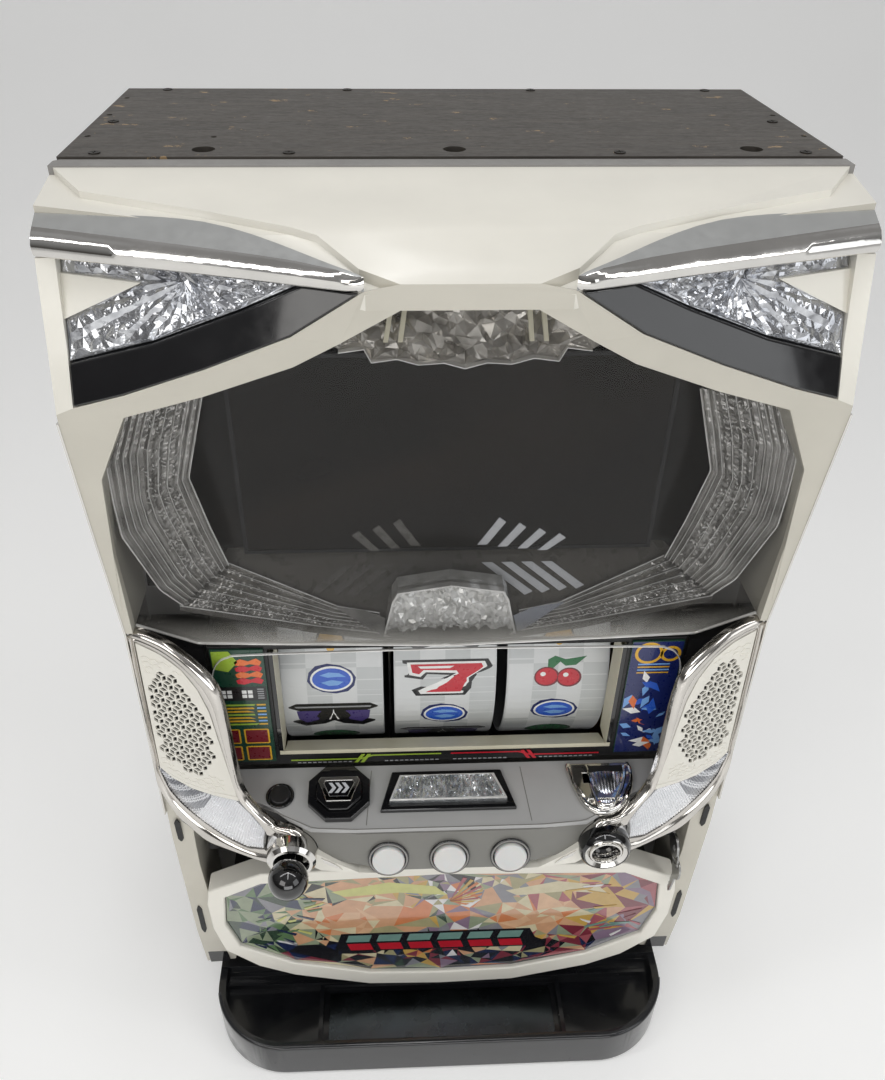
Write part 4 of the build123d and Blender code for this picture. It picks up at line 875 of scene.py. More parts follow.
def side_frames():
    """Chrome frames at both sides of the reels, and the ivory bridges between grille and lamp."""
    bm = bmesh.new()
    outer = smooth_line([Vector((*p, 0)) for p, q in FRAME_PAIRS], 6)
    inner = smooth_line([Vector((*q, 0)) for p, q in FRAME_PAIRS], 6)
    for side in SIDES:
        rows = []
        for p, q in zip(outer, inner):
            row = []
            for t, w in ((0.0, -5.0), (0.0, -0.8), (0.08, 1.0), (0.24, 2.5), (0.42, 2.8), (0.58, 1.7),
                         (0.66, 0.4), (0.74, 0.9), (0.9, 1.2), (0.98, 0.7), (1.0, -0.8), (1.0, -5.0)):
                r = p.lerp(q, t)
                row.append(WING(side * min(r.x, 235.6), r.y, w))
            rows.append(row)
        sweep(bm, rows)
        x0, x1, back = side * 232.8, side * 235.8, -17.2
        sweep(bm, [[WING(x0, z, -1.2), WING(x1, z, -1.2), at(x1, back, z), at(x0, back, z)]
                   for z in (340.2, 495.8)])
    put("side_frame_band", bm, CHROME_SOFT, 50, replaces="speaker_frames")
    bm = bmesh.new()
    for mirror in MIRRORED:
        plate(bm, WING, ((167.4, 352.9), (188, 349.9), (211, 351.9), (226, 357.9), (231.2, 368),
                         (231.2, 361.2), (221, 352.2), (205, 346.7), (188, 346.2), (166, 348.4)),
              1.0, 4, mirror=mirror)
    bevel(put("side_frame_bridges", bm, IVORY), 0.5)


def grilles():
    """Perforated covers of the speakers, the cloth behind them and the waves on them."""
    bm = bmesh.new()
    holes = []
    pitch = 8.8
    reach = pitch / math.sqrt(3)
    for row in range(-8, 9):
        for col in range(-4, 5):
            cx = 206.5 + pitch * (col + (0.5 if row % 2 else 0))
            cz = SPEAKER_Z + row * pitch * 0.866
            if not in_speaker(cx, cz, 24, 51):
                continue
            for a in (math.radians(90), math.radians(210), math.radians(330)):
                mx, mz = reach / 2 * math.cos(a), reach / 2 * math.sin(a)
                corners = [(0, 0)] + [(reach * math.cos(a + b), reach * math.sin(a + b))
                                      for b in (-math.pi / 3, 0, math.pi / 3)]
                hole = [(cx + mx + 0.76 * (u - mx), cz + mz + 0.76 * (v - mz)) for u, v in corners]
                if all(inside(p, GRILLE, 2.0) for p in hole):
                    holes.append(hole)
    verts, faces = cut(GRILLE, (), holes)
    for mirror in MIRRORED:
        sheet(bm, WING, verts, faces, lambda u, v: 0.7, 0.8, 0, mirror)
    put("grille_perforated", bm, IVORY, replaces="speaker_grilles")
    bm = bmesh.new()
    cloth = [(203 + (x - 203) * 0.96, 420 + (z - 420) * 0.96) for x, z in GRILLE]
    for mirror in MIRRORED:
        plate(bm, WING, cloth, -2.6, 3.6, mirror=mirror)
    put("grille_cloth", bm, BLACK_AND_HOLE_SHADE)
    bm = bmesh.new()
    for side in SIDES:
        for start, end, z0 in ((188, 230, 470), (177, 232, 366)):
            for k in range(4):
                line = []
                for i in range(62):
                    x = start + (end - start) * i / 60
                    z = z0 - 4.6 * k + (x - start) * 0.12 + 0.9 * math.sin(x * 0.9 + k)
                    if i < 61 and inside((x, z), GRILLE, 2.4) and not in_speaker(x, z, 27, 54):
                        line.append((side * x, z))
                        continue
                    if len(line) > 6:
                        ridge(bm, WING, line, 1.3, 0.5, 1.15)
                    line = []
    put("grille_waves", bm, IVORY, 40)


def side_lamps():
    """Ribbed clear lamps below the speakers; the faces that the shade function picks take a darker copy of
    the clear material as painted shade.
    """
    bm = bmesh.new()
    top = ((231, 360.6), (221, 351.7), (205, 346.2), (188, 345.7), (169, 347.7), (158, 336.7), (147.4, 322))
    low = ((230.6, 359), (226, 338.4), (215.5, 324), (201, 311.5), (184, 301.5), (165, 296.5), (150.4, 300.6))
    across = 15
    for mirror in MIRRORED:
        strip_grid(bm, WING, top, low, 96, across,
                   lambda i, j: (0.9 if i % 2 else 0.1) + 1.6 * math.sin(math.pi * j / across),
                   3.2, 0, mirror, lambda i, j: 1 if i % 2 or j % 3 == 2 else 0)
    put("side_lamp_ribs", bm, [LAMP_CLEAR, LAMP_RIB_SHADE], replaces="side_lamps")


# ---------------------------------------------------------------- reels and their printed strips
PAPER_WIDE = 82.0
SYMBOLS = 16
SYMBOL_PITCH = 2 * math.pi / SYMBOLS
GROWTH = {"oval": (1.08, 1.5), "seven": (1.85, 1.3), "cherry": (1.45, 1.32), "bar": (1.28, 1.85),
          "bell": (1.3, 1.5), "melon": (1.2, 1.6)}
SYMBOL_LAYERS = {  # each layer's outline in mm, its ink and its number from the lowest up
    "oval": (
        ([(18.5, 1), (15, 5.2), (7, 8.4), (-3, 9.6), (-12, 8.2), (-17, 4.4), (-18.5, -1), (-15, -5.2),
          (-7, -8.4), (3, -9.6), (12, -8.2), (17, -4.4)], "navy", 0),
        (ring_points(16.2, 28, squash=0.5), "white", 1),
        (ring_points(14.6, 28, squash=0.47), "blue", 2),
        ([(-9, 2.6), (-2, 4.4), (6, 3.8), (11, 1.4), (4, 1.6), (-3, 1.2)], "sky", 3),
        ([(-8, -2.0), (0, -0.4), (9, -1.6), (5, -3.8), (-2, -4.2)], "sky", 3)),
    "seven": (
        ([(-19, 13), (19, 13), (21, 8), (9, -14), (-13, -14), (-15, -9), (2, 2), (-8, 3), (-10, -1),
          (-18, 1)], "black", 0),
        ([(-17, 11.4), (17.5, 11.4), (18.6, 8), (7.8, -12.4), (-11, -12.4), (-12, -9.6), (5, 3.4),
          (-8.6, 4.4), (-11, 1), (-16, 2.6)], "white", 1),
        ([(-15.4, 10), (16, 10), (16.8, 7.6), (6.8, -11), (-8.6, -11), (6, 3), (5, 5.2), (-9.6, 6),
          (-11.6, 3), (-14.6, 4.2)], "red", 2),
        ([(-12, 8.6), (4, 8.6), (2, 7), (-11, 7)], "white", 3)),
    "cherry": (
        ([(-6, 9), (-2, 11.5), (4, 9), (16, 11), (10, 5), (4, 4.5), (1, 7.5), (-3, 3), (-6, 3)], "green", 0),
        *((ring_points(r, n, x, z), colour, number) for r, n, x, z, colour, number in (
            (7.2, 22, -6.4, -3.2, "wine", 1), (7.2, 22, 6.4, -4.0, "wine", 1),
            (6.2, 22, -6.6, -3.0, "red", 2), (6.2, 22, 6.2, -3.8, "red", 2),
            (1.6, 10, -8.6, -1.0, "white", 3), (1.6, 10, 4.4, -1.8, "white", 3)))),
    "bar": (
        ([(-29, 7), (-24, 9), (24, 9), (29, 7), (27, -5), (19, -9), (6, -7), (0, -4), (-6, -7), (-19, -9),
          (-27, -5)], "black", 0),
        ([(-24, 4), (-8, 4), (-10, -3), (-18, -5.4), (-23, -2)], "violet", 1),
        ([(24, 4), (8, 4), (10, -3), (18, -5.4), (23, -2)], "violet", 1),
        ([(-25, 7.2), (25, 7.2), (24, 6.2), (-24, 6.2)], "grey", 1),
        ([(-3.4, -3), (0, 5), (3.4, -3), (2.2, -3), (0, 2.4), (-2.2, -3)], "white", 1)),
    "bell": (
        ([(-12, -9), (-9, -5), (-7, 5), (-3, 9.5), (3, 9.5), (7, 5), (9, -5), (12, -9)], "black", 0),
        ([(-10, -8), (-7.6, -4.6), (-5.6, 4.4), (-2.4, 8), (2.4, 8), (5.6, 4.4), (7.6, -4.6), (10, -8)],
         "gold", 1),
        (ring_points(2.6, 12, 0, -9.4), "gold", 2)),
    "melon": (
        (ring_points(17, 28, squash=0.5), "forest", 0),
        (ring_points(15.4, 28, squash=0.48), "green", 1),
        *(([(x - 1, -5), (x + 0.8, -5.4), (x + 2, 0), (x + 0.8, 5.4), (x - 1, 5), (x + 0.4, 0)], "forest", 2)
          for x in (-9, -3, 3, 9)))}


def symbol(bm, place, kind):
    """One printed symbol of the reels, in layers of ink."""
    grow_x, grow_y = GROWTH[kind]
    for outline, colour, number in SYMBOL_LAYERS[kind]:
        outline = [(x * grow_x, z * grow_y) for x, z in outline]
        xs, zs = zip(*outline)
        rows = [min(zs) + (max(zs) - min(zs)) * k / 6 for k in range(1, 6)]
        points = [(min(xs) + (max(xs) - min(xs)) * i / 4, z) for z in rows for i in range(5)]
        plate(bm, place, outline, 0.16 + 0.06 * number, -0.02, INK_AT[colour], points)


STRIPS = {
    "left": ("bar", "oval", "bell", "seven", "oval", "melon", "cherry", "melon"),
    "centre": ("oval", "seven", "bar", "cherry", "oval", "melon", "bell", "bar"),
    "right": ("oval", "cherry", "bell", "oval", "bar", "seven", "oval", "melon"),
}
REEL_X = {"left": -93.0, "centre": 0.0, "right": 93.0}
PHASE = {"left": -11.0, "centre": -11.5, "right": -10.0}


def reel_strips():
    """Printed paper strips on the reels, and the window's ledge and borders."""
    for side, kinds in STRIPS.items():
        bm = bmesh.new()
        place = on_reel(REEL_X[side], 0)
        cols, rows = 8, 84
        for w in (0.06, -0.35):
            made = [[bm.verts.new(place(PAPER_WIDE * (c / cols - 0.5), 2 * math.pi * REEL_R * r / rows, w))
                     for c in range(cols + 1)] for r in range(rows)]
            for r in range(rows):
                for c in range(cols):
                    a, b = made[r], made[(r + 1) % rows]
                    f = bm.faces.new((a[c], a[c + 1], b[c + 1], b[c]))
                    f.material_index = 1 if (c // 2 + r // 4) % 2 else 0
            if w > 0:
                top = made
        for r in range(rows):
            s = (r + 1) % rows
            bm.faces.new((top[r][0], top[s][0], made[s][0], made[r][0]))
            bm.faces.new((top[r][cols], made[r][cols], made[s][cols], top[s][cols]))
        put("strip_paper_" + side, bm, [PAPER, PAPER_GREY], body="reel_" + side)
        bm = bmesh.new()
        for k in range(SYMBOLS):
            turn = math.radians(PHASE[side]) + SYMBOL_PITCH * k
            symbol(bm, on_reel(REEL_X[side], turn), kinds[k % 8])
        put("strip_symbols_" + side, bm, list(INK.values()), body="reel_" + side)
    bm = bmesh.new()
    ledge = ((-61.6, 359.2), (-61.6, 361.6), (-37.4, 347.2), (-37.4, 345.8))
    sweep(bm, [[at(x, y, z) for y, z in ledge] for x in (-132.6, 132.6)])
    put("window_ledge", bm, CREAM)
    bm = bmesh.new()
    for x in (-134.9, 134.9):
        plate(bm, flat(-61), rect(x - 1.6, x + 1.6, 361.5, 471), 0.3, 0.0)
    put("window_border", bm, GLOSS_BLACK)


# ---------------------------------------------------------------- printed panels and trim strip
PANEL_FACE = -62  # mm, y of the info panels' faces
ART_FACE, ART_BACK = -83.2, -80.2  # mm, y of the lower panel's print


def printed_panels():
    """Prints of the two info panels beside the reels."""
    bm = bmesh.new()
    place = flat(PANEL_FACE)

    def patch(outline, colour, level_no=0, holes=()):
        plate(bm, place, outline, 0.06 + 0.05 * level_no, 0.0, INK_AT[colour], (), holes)

    def block(x0, x1, z0, z1, colour, level_no=0):
        patch(rect(x0, x1, z0, z1), colour, level_no)
    block(-179.5, -140.5, 350.5, 473.5, "forest")
    patch(((-179, 473), (-166, 473), (-160, 462), (-168, 452), (-179, 455)), "lime", 1)
    for k in range(4):
        z = 462 - 6.4 * k
        patch(((-163, z), (-158, z + 3), (-152, z + 0.6), (-146, z + 3.4), (-142, z), (-144, z - 4),
               (-151, z - 2.2), (-157, z - 4.4), (-162, z - 3.4)), "red" if k % 2 else "orange", 1)
    block(-179, -141, 421, 436, "black", 1)
    for x in (-176, -160):
        for dx in (0, 4.6):
            for dz in (0, 4.6):
                block(x + dx, x + dx + 3.6, 424 + dz, 427.6 + dz, "white", 2)
    for k in range(5):
        block(-148, -143, 423 + 2.4 * k, 424.2 + 2.4 * k, "grey", 2)
    for k in range(7):
        z = 417 - 3.6 * k
        patch(((-178, z), (-150 + rng.uniform(-8, 4), z), (-152, z - 1.8), (-178, z - 1.8)),
              "gold" if k % 3 else "lime", 1)
        block(-150, -143, z - 1.6, z, "sky" if k % 2 else "gold", 1)
    for z in (352, 372):
        for x0, x1 in ((-163, -143), (-179, -166)):
            patch(((x0, z + 1), (x0 + 1, z), (x1 - 1, z), (x1, z + 1), (x1, z + 16), (x1 - 1, z + 17),
                   (x0 + 1, z + 17), (x0, z + 16)), "gold", 1)
            block(x0 + 1.3, x1 - 1.3, z + 1.3, z + 15.7, "wine", 2)
    block(140.5, 179.5, 350.5, 473.5, "navy")
    for cx, cz, r in ((154, 462, 11), (171, 461, 8)):
        patch(ring_points(r, 26, cx, cz), "gold", 1, (ring_points(r - 2.4, 20, cx, cz),))
    for k in range(4):
        z = 451 - 3 * k
        block(147, 172, z - 1.3, z, "gold" if k % 2 else "sky", 1)
    for k in range(34):
        cx, cz = rng.uniform(144, 176), rng.uniform(354, 436)
        a, r = rng.uniform(0, 6.3), rng.uniform(3.5, 8.5)
        corners = [(cx + r * m * math.cos(a + t), cz + r * m * math.sin(a + t))
                   for t, m in ((0, 1.3), (1.6, 0.45), (3.1, 0.9), (4.6, 0.5))]
        shard = [(max(141, min(179, x)), max(351, min(472, z))) for x, z in corners]
        patch(shard, ("blue", "sky", "white", "navy", "sky", "orange")[k % 6], 1 + k / 20)
    put("panel_prints", bm, list(INK.values()))


def trim_prints():
    """Prints on the strip between the reel window and the deck."""
    bm = bmesh.new()
    place = flat(-61.6)
    for side, colour in ((-1, "lime"), (1, "red")):
        line = ((4, 353.2), (60, 353.2), (70, 349.4), (128, 349.4), (128, 350.6), (71, 350.6), (61, 354.4),
                (4, 354.4))
        plate(bm, place, sided(side, line), 0.3, 0.0, INK_AT[colour])
        for x0 in (62, 67):
            stroke = ((x0, 355.4), (x0 + 3, 355.4), (x0 + 9, 345.6), (x0 + 6, 345.6))
            plate(bm, place, sided(side, stroke), 0.35, 0.0, INK_AT[colour])
        for x0 in (6, 78):
            for k in range(11):
                x = x0 + 4.2 * k
                plate(bm, place, rect(side * x, side * (x + 2.8), 346.2, 347.3), 0.3, 0.0, INK_AT["grey"])
    put("trim_prints", bm, list(INK.values()))


# ---------------------------------------------------------------- control deck
def bet_button_details():
    """Chrome rim, window, chevrons and collar of the bet-all button."""
    p = on_deck(-88, -88)
    octagon = ring_points(19.0, 8, start=math.radians(22.5))
    bm = bmesh.new()
    shield = [(-15, 10.5), (15, 10.5), (17, 7), (12, -6), (10, -12), (-10, -12), (-12, -6), (-17, 7)]
    hollow = [(x * 0.7, 0.6 + (y - 0.6) * 0.62) for x, y in shield]
    plate(bm, p, shield, 10.9, -8.7, holes=(hollow,))
    bevel(put("max_chrome_rim", bm, CHROME, body="max_button"), 0.7, 3)
    bm = bmesh.new()
    plate(bm, p, hollow, 9.9, -8.8)
    put("max_window", bm, GLOSS_BLACK, body="max_button")
    bm = bmesh.new()
    for k in range(3):
        x = -8.4 + 5.3 * k
        plate(bm, p, [(x, 5), (x + 2.9, 5), (x + 6.2, 0.4), (x + 2.9, -4.2), (x, -4.2), (x + 3.3, 0.4)],
              10.3, -9.8)
    put("max_chevrons", bm, BAR_LIT, body="max_button")
    bm = bmesh.new()
    plate(bm, p, octagon, 9.6, -8.95, holes=(shield,))
    put("max_collar", bm, GLOSS_BLACK, body="max_button")


def push_button_details():
    """Crystal of the push button and its rim."""
    q = on_deck(0, -88)
    rear, front_x, half = 38.6, 47.4, 11.6
    trap = [(-rear, half), (rear, half), (front_x, -half), (-front_x, -half)]
    bm = bmesh.new()
    points, rise = [], {}
    for r in range(8):
        v = half - 1.6 - (2 * half - 3.2) * r / 7
        wide = rear + (front_x - rear) * (half - v) / (2 * half) - 1.8
        for c in range(41):
            u = -wide + 2 * wide * c / 40
            points.append((u, v))
            rise[spot((u, v))] = 7.9 + (1.3 if c % 2 else 0) + rng.uniform(-0.5, 0.5)
    verts, faces = cut(trap, points, margin=0.5)
    sheet(bm, q, verts, faces, [rise.get(spot(v), 7.2) for v in verts], 7.6)
    put("push_crystal", bm, PUSH_CLEAR, body="push_button", replaces="push_button")
    bm = bmesh.new()
    # The rim is in the bright edge material: a painted highlight.
    inner = [(-rear + 1.6, half - 1.4), (rear - 1.6, half - 1.4), (front_x - 2.0, -half + 1.4),
             (-front_x + 2.0, -half + 1.4)]
    plate(bm, q, trap, 8.9, -6.9, holes=(inner,))
    bevel(put("push_rim", bm, EDGE_HIGHLIGHT, body="push_button"), 0.4)


def inlet_details():
    """Shell, tongue and slot of the medal inlet."""
    r = on_deck(127, -82)
    shield = smooth_line(((-27.5, 15), (-28, 11), (-25, -4), (-19, -22), (-11, -30), (-1, -32), (13, -26),
                          (24, -11), (28, 6), (26, 15)), 4)
    cup = smooth_line(((-14, 11), (-13, 5), (-11.5, -17), (-7.5, -27.5), (3, -28), (12, -16), (18.5, -2),
                       (20.5, 11)), 4)
    bm = bmesh.new()
    profile = ((1.0, 0.2), (1.0, 3.6), (0.96, 5.2), (0.9, 5.6), (0.78, 3.2), (0.7, 2.2), (0.7, 0.3))
    sweep(bm, [[r(t.x * k, t.y * k if t.y < 0 else t.y + 5 * (k - 1), w) for k, w in profile]
               for t in shield])
    profile = ((1.0, 0.4), (1.0, 6.4), (0.93, 8.2), (0.86, 8.0), (0.8, 5.4), (0.74, 0.4))
    sweep(bm, [[r(t.x * k + 1.5, t.y * k if t.y < 0 else t.y, w) for k, w in profile] for t in cup])
    put("inlet_shell", bm, CHROME, 50)
    bm = bmesh.new()
    rows = []
    for k in range(19):
        u = -10.5 + 26 * k / 18
        bulge = 2.6 * (1 - ((u - 2.5) / 13) ** 2) + (0.6 if k % 2 else 0)
        tip = u * 0.5 + 0.6
        rows.append([r(u, 4.2, 5.6 + bulge), r(u * 0.92, -6, 5.4 + bulge),
                     r(u * 0.78 + 0.4, -16, 3.8 + bulge * 0.7), r(tip, -25, 1.6), r(tip, -25, 0.4),
                     r(u, 4.2, 0.4)])
    sweep(bm, rows)
    put("inlet_tongue", bm, TIP_SILVER, 20)
    bm = bmesh.new()
    # The slot is a near-black plate: painted shade in its opening.
    plate(bm, r, ((-12, 4.8), (19, 4.8), (21, 10.6), (-14, 10.6)), 7.0, -6.2)
    put("inlet_slot", bm, BLACK_AND_HOLE_SHADE)


def deck_rings():
    """Rings around the start lever, the return button and the stop buttons."""
    bm = bmesh.new()
    turned(bm, lambda u, v, y: at(u + LEVER[0], y, v + LEVER[1]),
           ((14.45, -112.6), (14.45, -129.5), (14.15, -129.5), (14.1, -124.0), (12.2, -113.0)), 48)
    put("lever_socket", bm, RUBBER, 50)
    bm = bmesh.new()
    outer = ((17.2, -131.2), (18.2, -132.0), (19.9, -130.4), (21.0, -126.0), (21.0, -119.0), (20.6, -119.0),
             (20.6, -125.0), (19.0, -129.0))
    inner = ((11.0, -124.0), (11.0, -130.6), (11.6, -131.4), (12.8, -131.2), (13.2, -130.4), (13.2, -124.0))
    for index, profile in enumerate((outer, inner)):
        turned(bm, lambda u, v, y: at(u - LEVER[0], y, v + LEVER[1]), profile, 56, index)
    put("return_rings", bm, [RUBBER, CHROME], 40)

    bm = bmesh.new()
    for x in (-49, 0, 49):
        turned(bm, on_face(x, 306),
               ((16.5, 0.1), (16.3, 1.4), (15.4, 2.7), (14.3, 2.7), (13.6, 1.6), (13.6, 0.1)), 40)
    put("stop_rims", bm, GREY_FRAME, 40)


def deck_trim():
    """Grooves of the deck's top and the spikes on its front."""
    bm = bmesh.new()
    line = [(-168, -90), (-137, -103), (-108, -117.2), (-74, -119.4), (74, -119.4), (108, -117.2),
            (137, -103), (168, -90)]
    groove = ((-0.35, 0.0), (-0.35, 0.25), (0.35, 0.3), (0.35, 0.0))
    sweep(bm, [[at(a.x, a.y + dy, deck_height(a.y) + w) for dy, w in groove] for a in resample(line, 60)])
    groove = ((-0.3, 0.0), (-0.3, 0.2), (0.3, 0.2), (0.3, 0.0))
    for side in (-1, 1):
        ends = ((side * 62, -66), (side * 66, -116))
        sweep(bm, [[at(a.x + dx, a.y, deck_height(a.y) + w) for dx, w in groove] for a in resample(ends, 8)])
    put("deck_lines", bm, FACE_PAINT)

    bm = bmesh.new()
    spike = ((118, 298), (107, 310.5), (93, 301.5), (73, 290.5), (48, 294.2), (52, 291.4), (104, 289))
    glint = ((103, 306), (100, 300), (86, 293.5), (92, 300))
    for side in SIDES:
        for index, (outline, height, thick) in enumerate(((spike, 1.2, 6), (glint, 2.2, 0))):
            plate(bm, lambda u, v, w=0.0: at(u, -131.5 + 0.14 * (abs(u) - 48) - w, v),
                  sided(side, outline), height, thick, index)
    bevel(put("deck_spikes", bm, [IVORY, CHROME]), 0.6)


# ---------------------------------------------------------------- lower panel print
ART = ((0, 222), (163, 216), (197, 197), (201, 156), (191, 118), (142, 86), (70, 65), (0, 62))


def lower_art():
    """Abstract print of the lower panel: a mosaic of facets with shapes over it."""
    outline = [(x * 0.997, 142 + (z - 142) * 0.993) for x, z in both(ART)]
    names = list(PANEL_INK)
    bands = (
        (-140, ("forest", "green", "grey", "navy", "sage", "sage")),
        (-95, ("sage", "skin", "forest", "black", "cream")),
        (-40, ("skin", "black", "cream", "olive", "skin")),
        (-5, ("olive", "forest", "orange", "gold", "grey")),
        (35, ("orange", "black", "sage", "white", "violet")),
        (95, ("olive", "cream", "skin", "olive", "grey")),
        (150, ("rose", "skin", "wine", "sage", "gold")),
        (210, ("wine", "rose", "violet", "grey", "gold")))
    verts, faces = cut(outline, scatter(outline, 420, 2.0), margin=1.0)
    bm = bmesh.new()
    top = [bm.verts.new(at(p.x, ART_FACE, p.y)) for p in verts]
    for f in faces:
        c = sum((verts[i] for i in f), Vector((0, 0))) / 3
        x = c.x + rng.uniform(-22, 22)
        kinds = next(k for limit, k in bands if x < limit or limit == 210)
        colour = kinds[rng.randrange(len(kinds))]
        if any(((c.x - cx) / 44) ** 2 + ((c.y - cz) / 27) ** 2 < 1 for cx, cz in ((-88, 152), (86, 148))):
            colour = ("skin", "skin", "skin", "peach", "cream", "orange")[rng.randrange(6)]
        if c.y < 108 and abs(c.x) < 150 and rng.random() < 0.75:
            colour = rng.choice(("black", "navy", "black", "wine"))
        bm.faces.new([top[i] for i in f]).material_index = names.index(colour)
    low = [bm.verts.new(at(p.x, ART_BACK, p.y)) for p in verts]
    count = {}
    for f in faces:
        for a, b in zip(f, f[1:] + f[:1]):
            count.setdefault(frozenset((a, b)), []).append((a, b))
        bm.faces.new([low[i] for i in reversed(f)])
    for pairs in count.values():
        if len(pairs) == 1:
            a, b = pairs[0]
            bm.faces.new((top[b], top[a], low[a], low[b]))
    put("lower_print", bm, list(PANEL_INK.values()), replaces="lower_panel")
    bm = bmesh.new()
    place = flat(ART_FACE)

    def patch(points, colour, w):
        if all(inside(p, outline, 0.8) for p in points):
            plate(bm, place, points, w, -0.02, names.index(colour))

    for x, z, s, colour in ((-60, 188, 1.0, "lime"), (95, 182, 0.9, "cream")):
        patch([(x - 42 * s, z + 8), (x + 10, z + 20), (x + 52 * s, z + 12), (x + 64 * s, z - 2),
               (x + 20, z + 4), (x - 30 * s, z)], colour, 0.06)
    for k in range(9):
        a = math.radians(-60 + 15 * k)
        patch([(6, 176)] + [(6 + 30 * math.cos(b), 190 + 24 * math.sin(b)) for b in (a, a + 0.14)],
              ("orange", "gold", "rose")[k % 3], 0.2 + 0.01 * k)
    patch([(-104, 98), (96, 98), (84, 128), (-96, 128)], "black", 0.3)
    for k in range(6):
        x = -92 + 29 * k
        patch([(x, 114), (x + 22, 114), (x + 25, 125), (x + 3, 125)], "teal", 0.34)
        patch([(x + 4, 100), (x + 26, 100), (x + 23, 111), (x + 1, 111)], "red", 0.34)
    for x0, x1, z0, z1, reach, colours in (
            (110, 184, 110, 196, 26, ("rose", "white", "gold", "wine", "teal")),
            (-188, -120, 112, 200, 24, ("white", "green", "grey", "lime", "navy"))):
        for k in range(16):
            x, z = rng.uniform(x0, x1), rng.uniform(z0, z1)
            dx, dz = rng.uniform(8, reach), rng.uniform(-9, 9)
            patch([(x, z), (x + dx, z + dz), (x + dx * 0.9, z + dz - 3), (x + 2, z - 2.5)],
                  rng.choice(colours), 0.4 + 0.01 * k)
    put("lower_print_shapes", bm, list(PANEL_INK.values()))


# ---------------------------------------------------------------- small parts
GROOVE = rect(-2, 2, -0.35, 0.35)
CROSS = [(-2.2, -0.4), (-2.2, 0.4), (-0.4, 0.4), (-0.4, 2.2), (0.4, 2.2), (0.4, 0.4), (2.2, 0.4), (2.2, -0.4),
         (0.4, -0.4), (0.4, -2.2), (-0.4, -2.2), (-0.4, -0.4)]


def screw(bm, place, radius, n, slot, rise, floor, depth):
    """A round screw head with a slot, and the slot's floor below."""
    plate(bm, place, ring_points(radius, n), rise, depth, holes=(slot,))
    plate(bm, place, ring_points(radius - 0.4, n - 4), floor, depth)


def leg_parts():
    """Slots and feet of the door's side legs."""
    bm = bmesh.new()
    for side in SIDES:
        for z0, z1 in ((112, 158), (262, 292)):
            rows = []
            for t in range(9):
                z = z0 + (z1 - z0) * t / 8
                y = -66 - 6 * (z - 114) / 152
                x0, x1 = (228.6 + k * 2.4 * min(1.0, 0.25 + t, 8.25 - t) for k in (-1, 1))
                slot = ((x0, 0.4), (x0, -0.9), (x1, -0.9), (x1, 0.4))
                rows.append([at(side * x, y + dy, z) for x, dy in slot])
            sweep(bm, rows)
    # Near-black inserts fill the slots: painted shade inside them.
    put("leg_slots", bm, BLACK_AND_HOLE_SHADE)
    bm = bmesh.new()
    foot = ((212, 48), (232, 47), (233, 70), (222, 84), (214, 78))
    for side in SIDES:
        plate(bm, flat(-58.6), sided(side, foot), 1.2, 4)
    bevel(put("leg_feet", bm, GLOSS_BLACK), 0.8)


def keys():
    """Key ring and spare key that hang from the door's lock."""
    bm = bmesh.new()
    rows = []
    for i in range(48):
        a = 2 * math.pi * i / 48
        centre = Vector((204.0, -89.0, 243.0)) + Vector((0.2, 7.0 * math.cos(a), 8.6 * math.sin(a)))
        radial = Vector((0, math.cos(a), math.sin(a)))
        rows.append([at(*(centre + 0.8 * (math.cos(b) * radial + math.sin(b) * Vector((1, 0, 0)))))
                     for b in (2 * math.pi * j / 8 for j in range(8))])
    sweep(bm, rows, 0, True)
    put("key_ring", bm, STEEL, 60, body="lock_key")
    bm = bmesh.new()
    head = ring_points(9.2, 28)
    blade = [(-3.2, -10), (-3.2, -27), (-1.6, -29.5), (0.8, -28), (2.4, -25.6), (1.4, -23.6), (2.9, -21.4),
             (1.8, -19.2), (3.1, -17), (3.1, -10)]
    plate(bm, lambda u, v, w=0.0: at(206.5 + w + 0.10 * v, -92.5 + u * 0.96, 228 + v),
          head[-5:] + head[:20] + blade, 0.9, 0.9, holes=(ring_points(2.6, 14, 0, 4.6),))
    bevel(put("spare_key", bm, STEEL, body="lock_key"), 0.3)


def screws():
    """Screws of the cabinet's boards."""
    bm = bmesh.new()
    for x, y in ([(x, 195) for x in (-205, -70, 70, 205)] + [(x, 8.5) for x in (-215, -100, 100, 215)]
                 + [(-222, 90), (222, 90)]):
        screw(bm, lambda u, v, w=0.0: at(x + u, y + v, TOP - 0.3 + w), 3.6, 20, CROSS,
              0.9, 0.1, 0.5)
    put("top_screws", bm, SCREW_DARK, body="cabinet")
    bm = bmesh.new()
    for z in (60, 210, 400, 600, 760):
        for side in SIDES:
            for y in (8, 192):
                screw(bm, lambda u, v, w=0.0: at(side * (234.9 + w), y + u, z + v), 3.4, 18, GROOVE,
                      0.8, 0.3, 0.3)
    for x in (-220, 0, 220):
        for z in (30, 180, 400, 620, 790):
            screw(bm, lambda u, v, w=0.0: at(x + u, 199.9 + w, z + v), 3.4, 18, GROOVE, 0.05, -0.2, 0.6)
    put("side_screws", bm, SCREW_DARK, body="cabinet")


def tray_ridges():
    """Low ridges on the floor of the coin tray."""
    bm = bmesh.new()
    ridge_shape = ((-0.7, -0.2), (-0.5, 0.8), (0.5, 0.8), (0.7, -0.2))
    for x, y, z in ((118, -74.5, 22.1), (214, -61, 36.2), (214, -66, 36.2)):
        sweep(bm, [[at(end, y + dy, z + dz) for dy, dz in ridge_shape] for end in (-x, x)])
    put("tray_ridges", bm, TRAY)


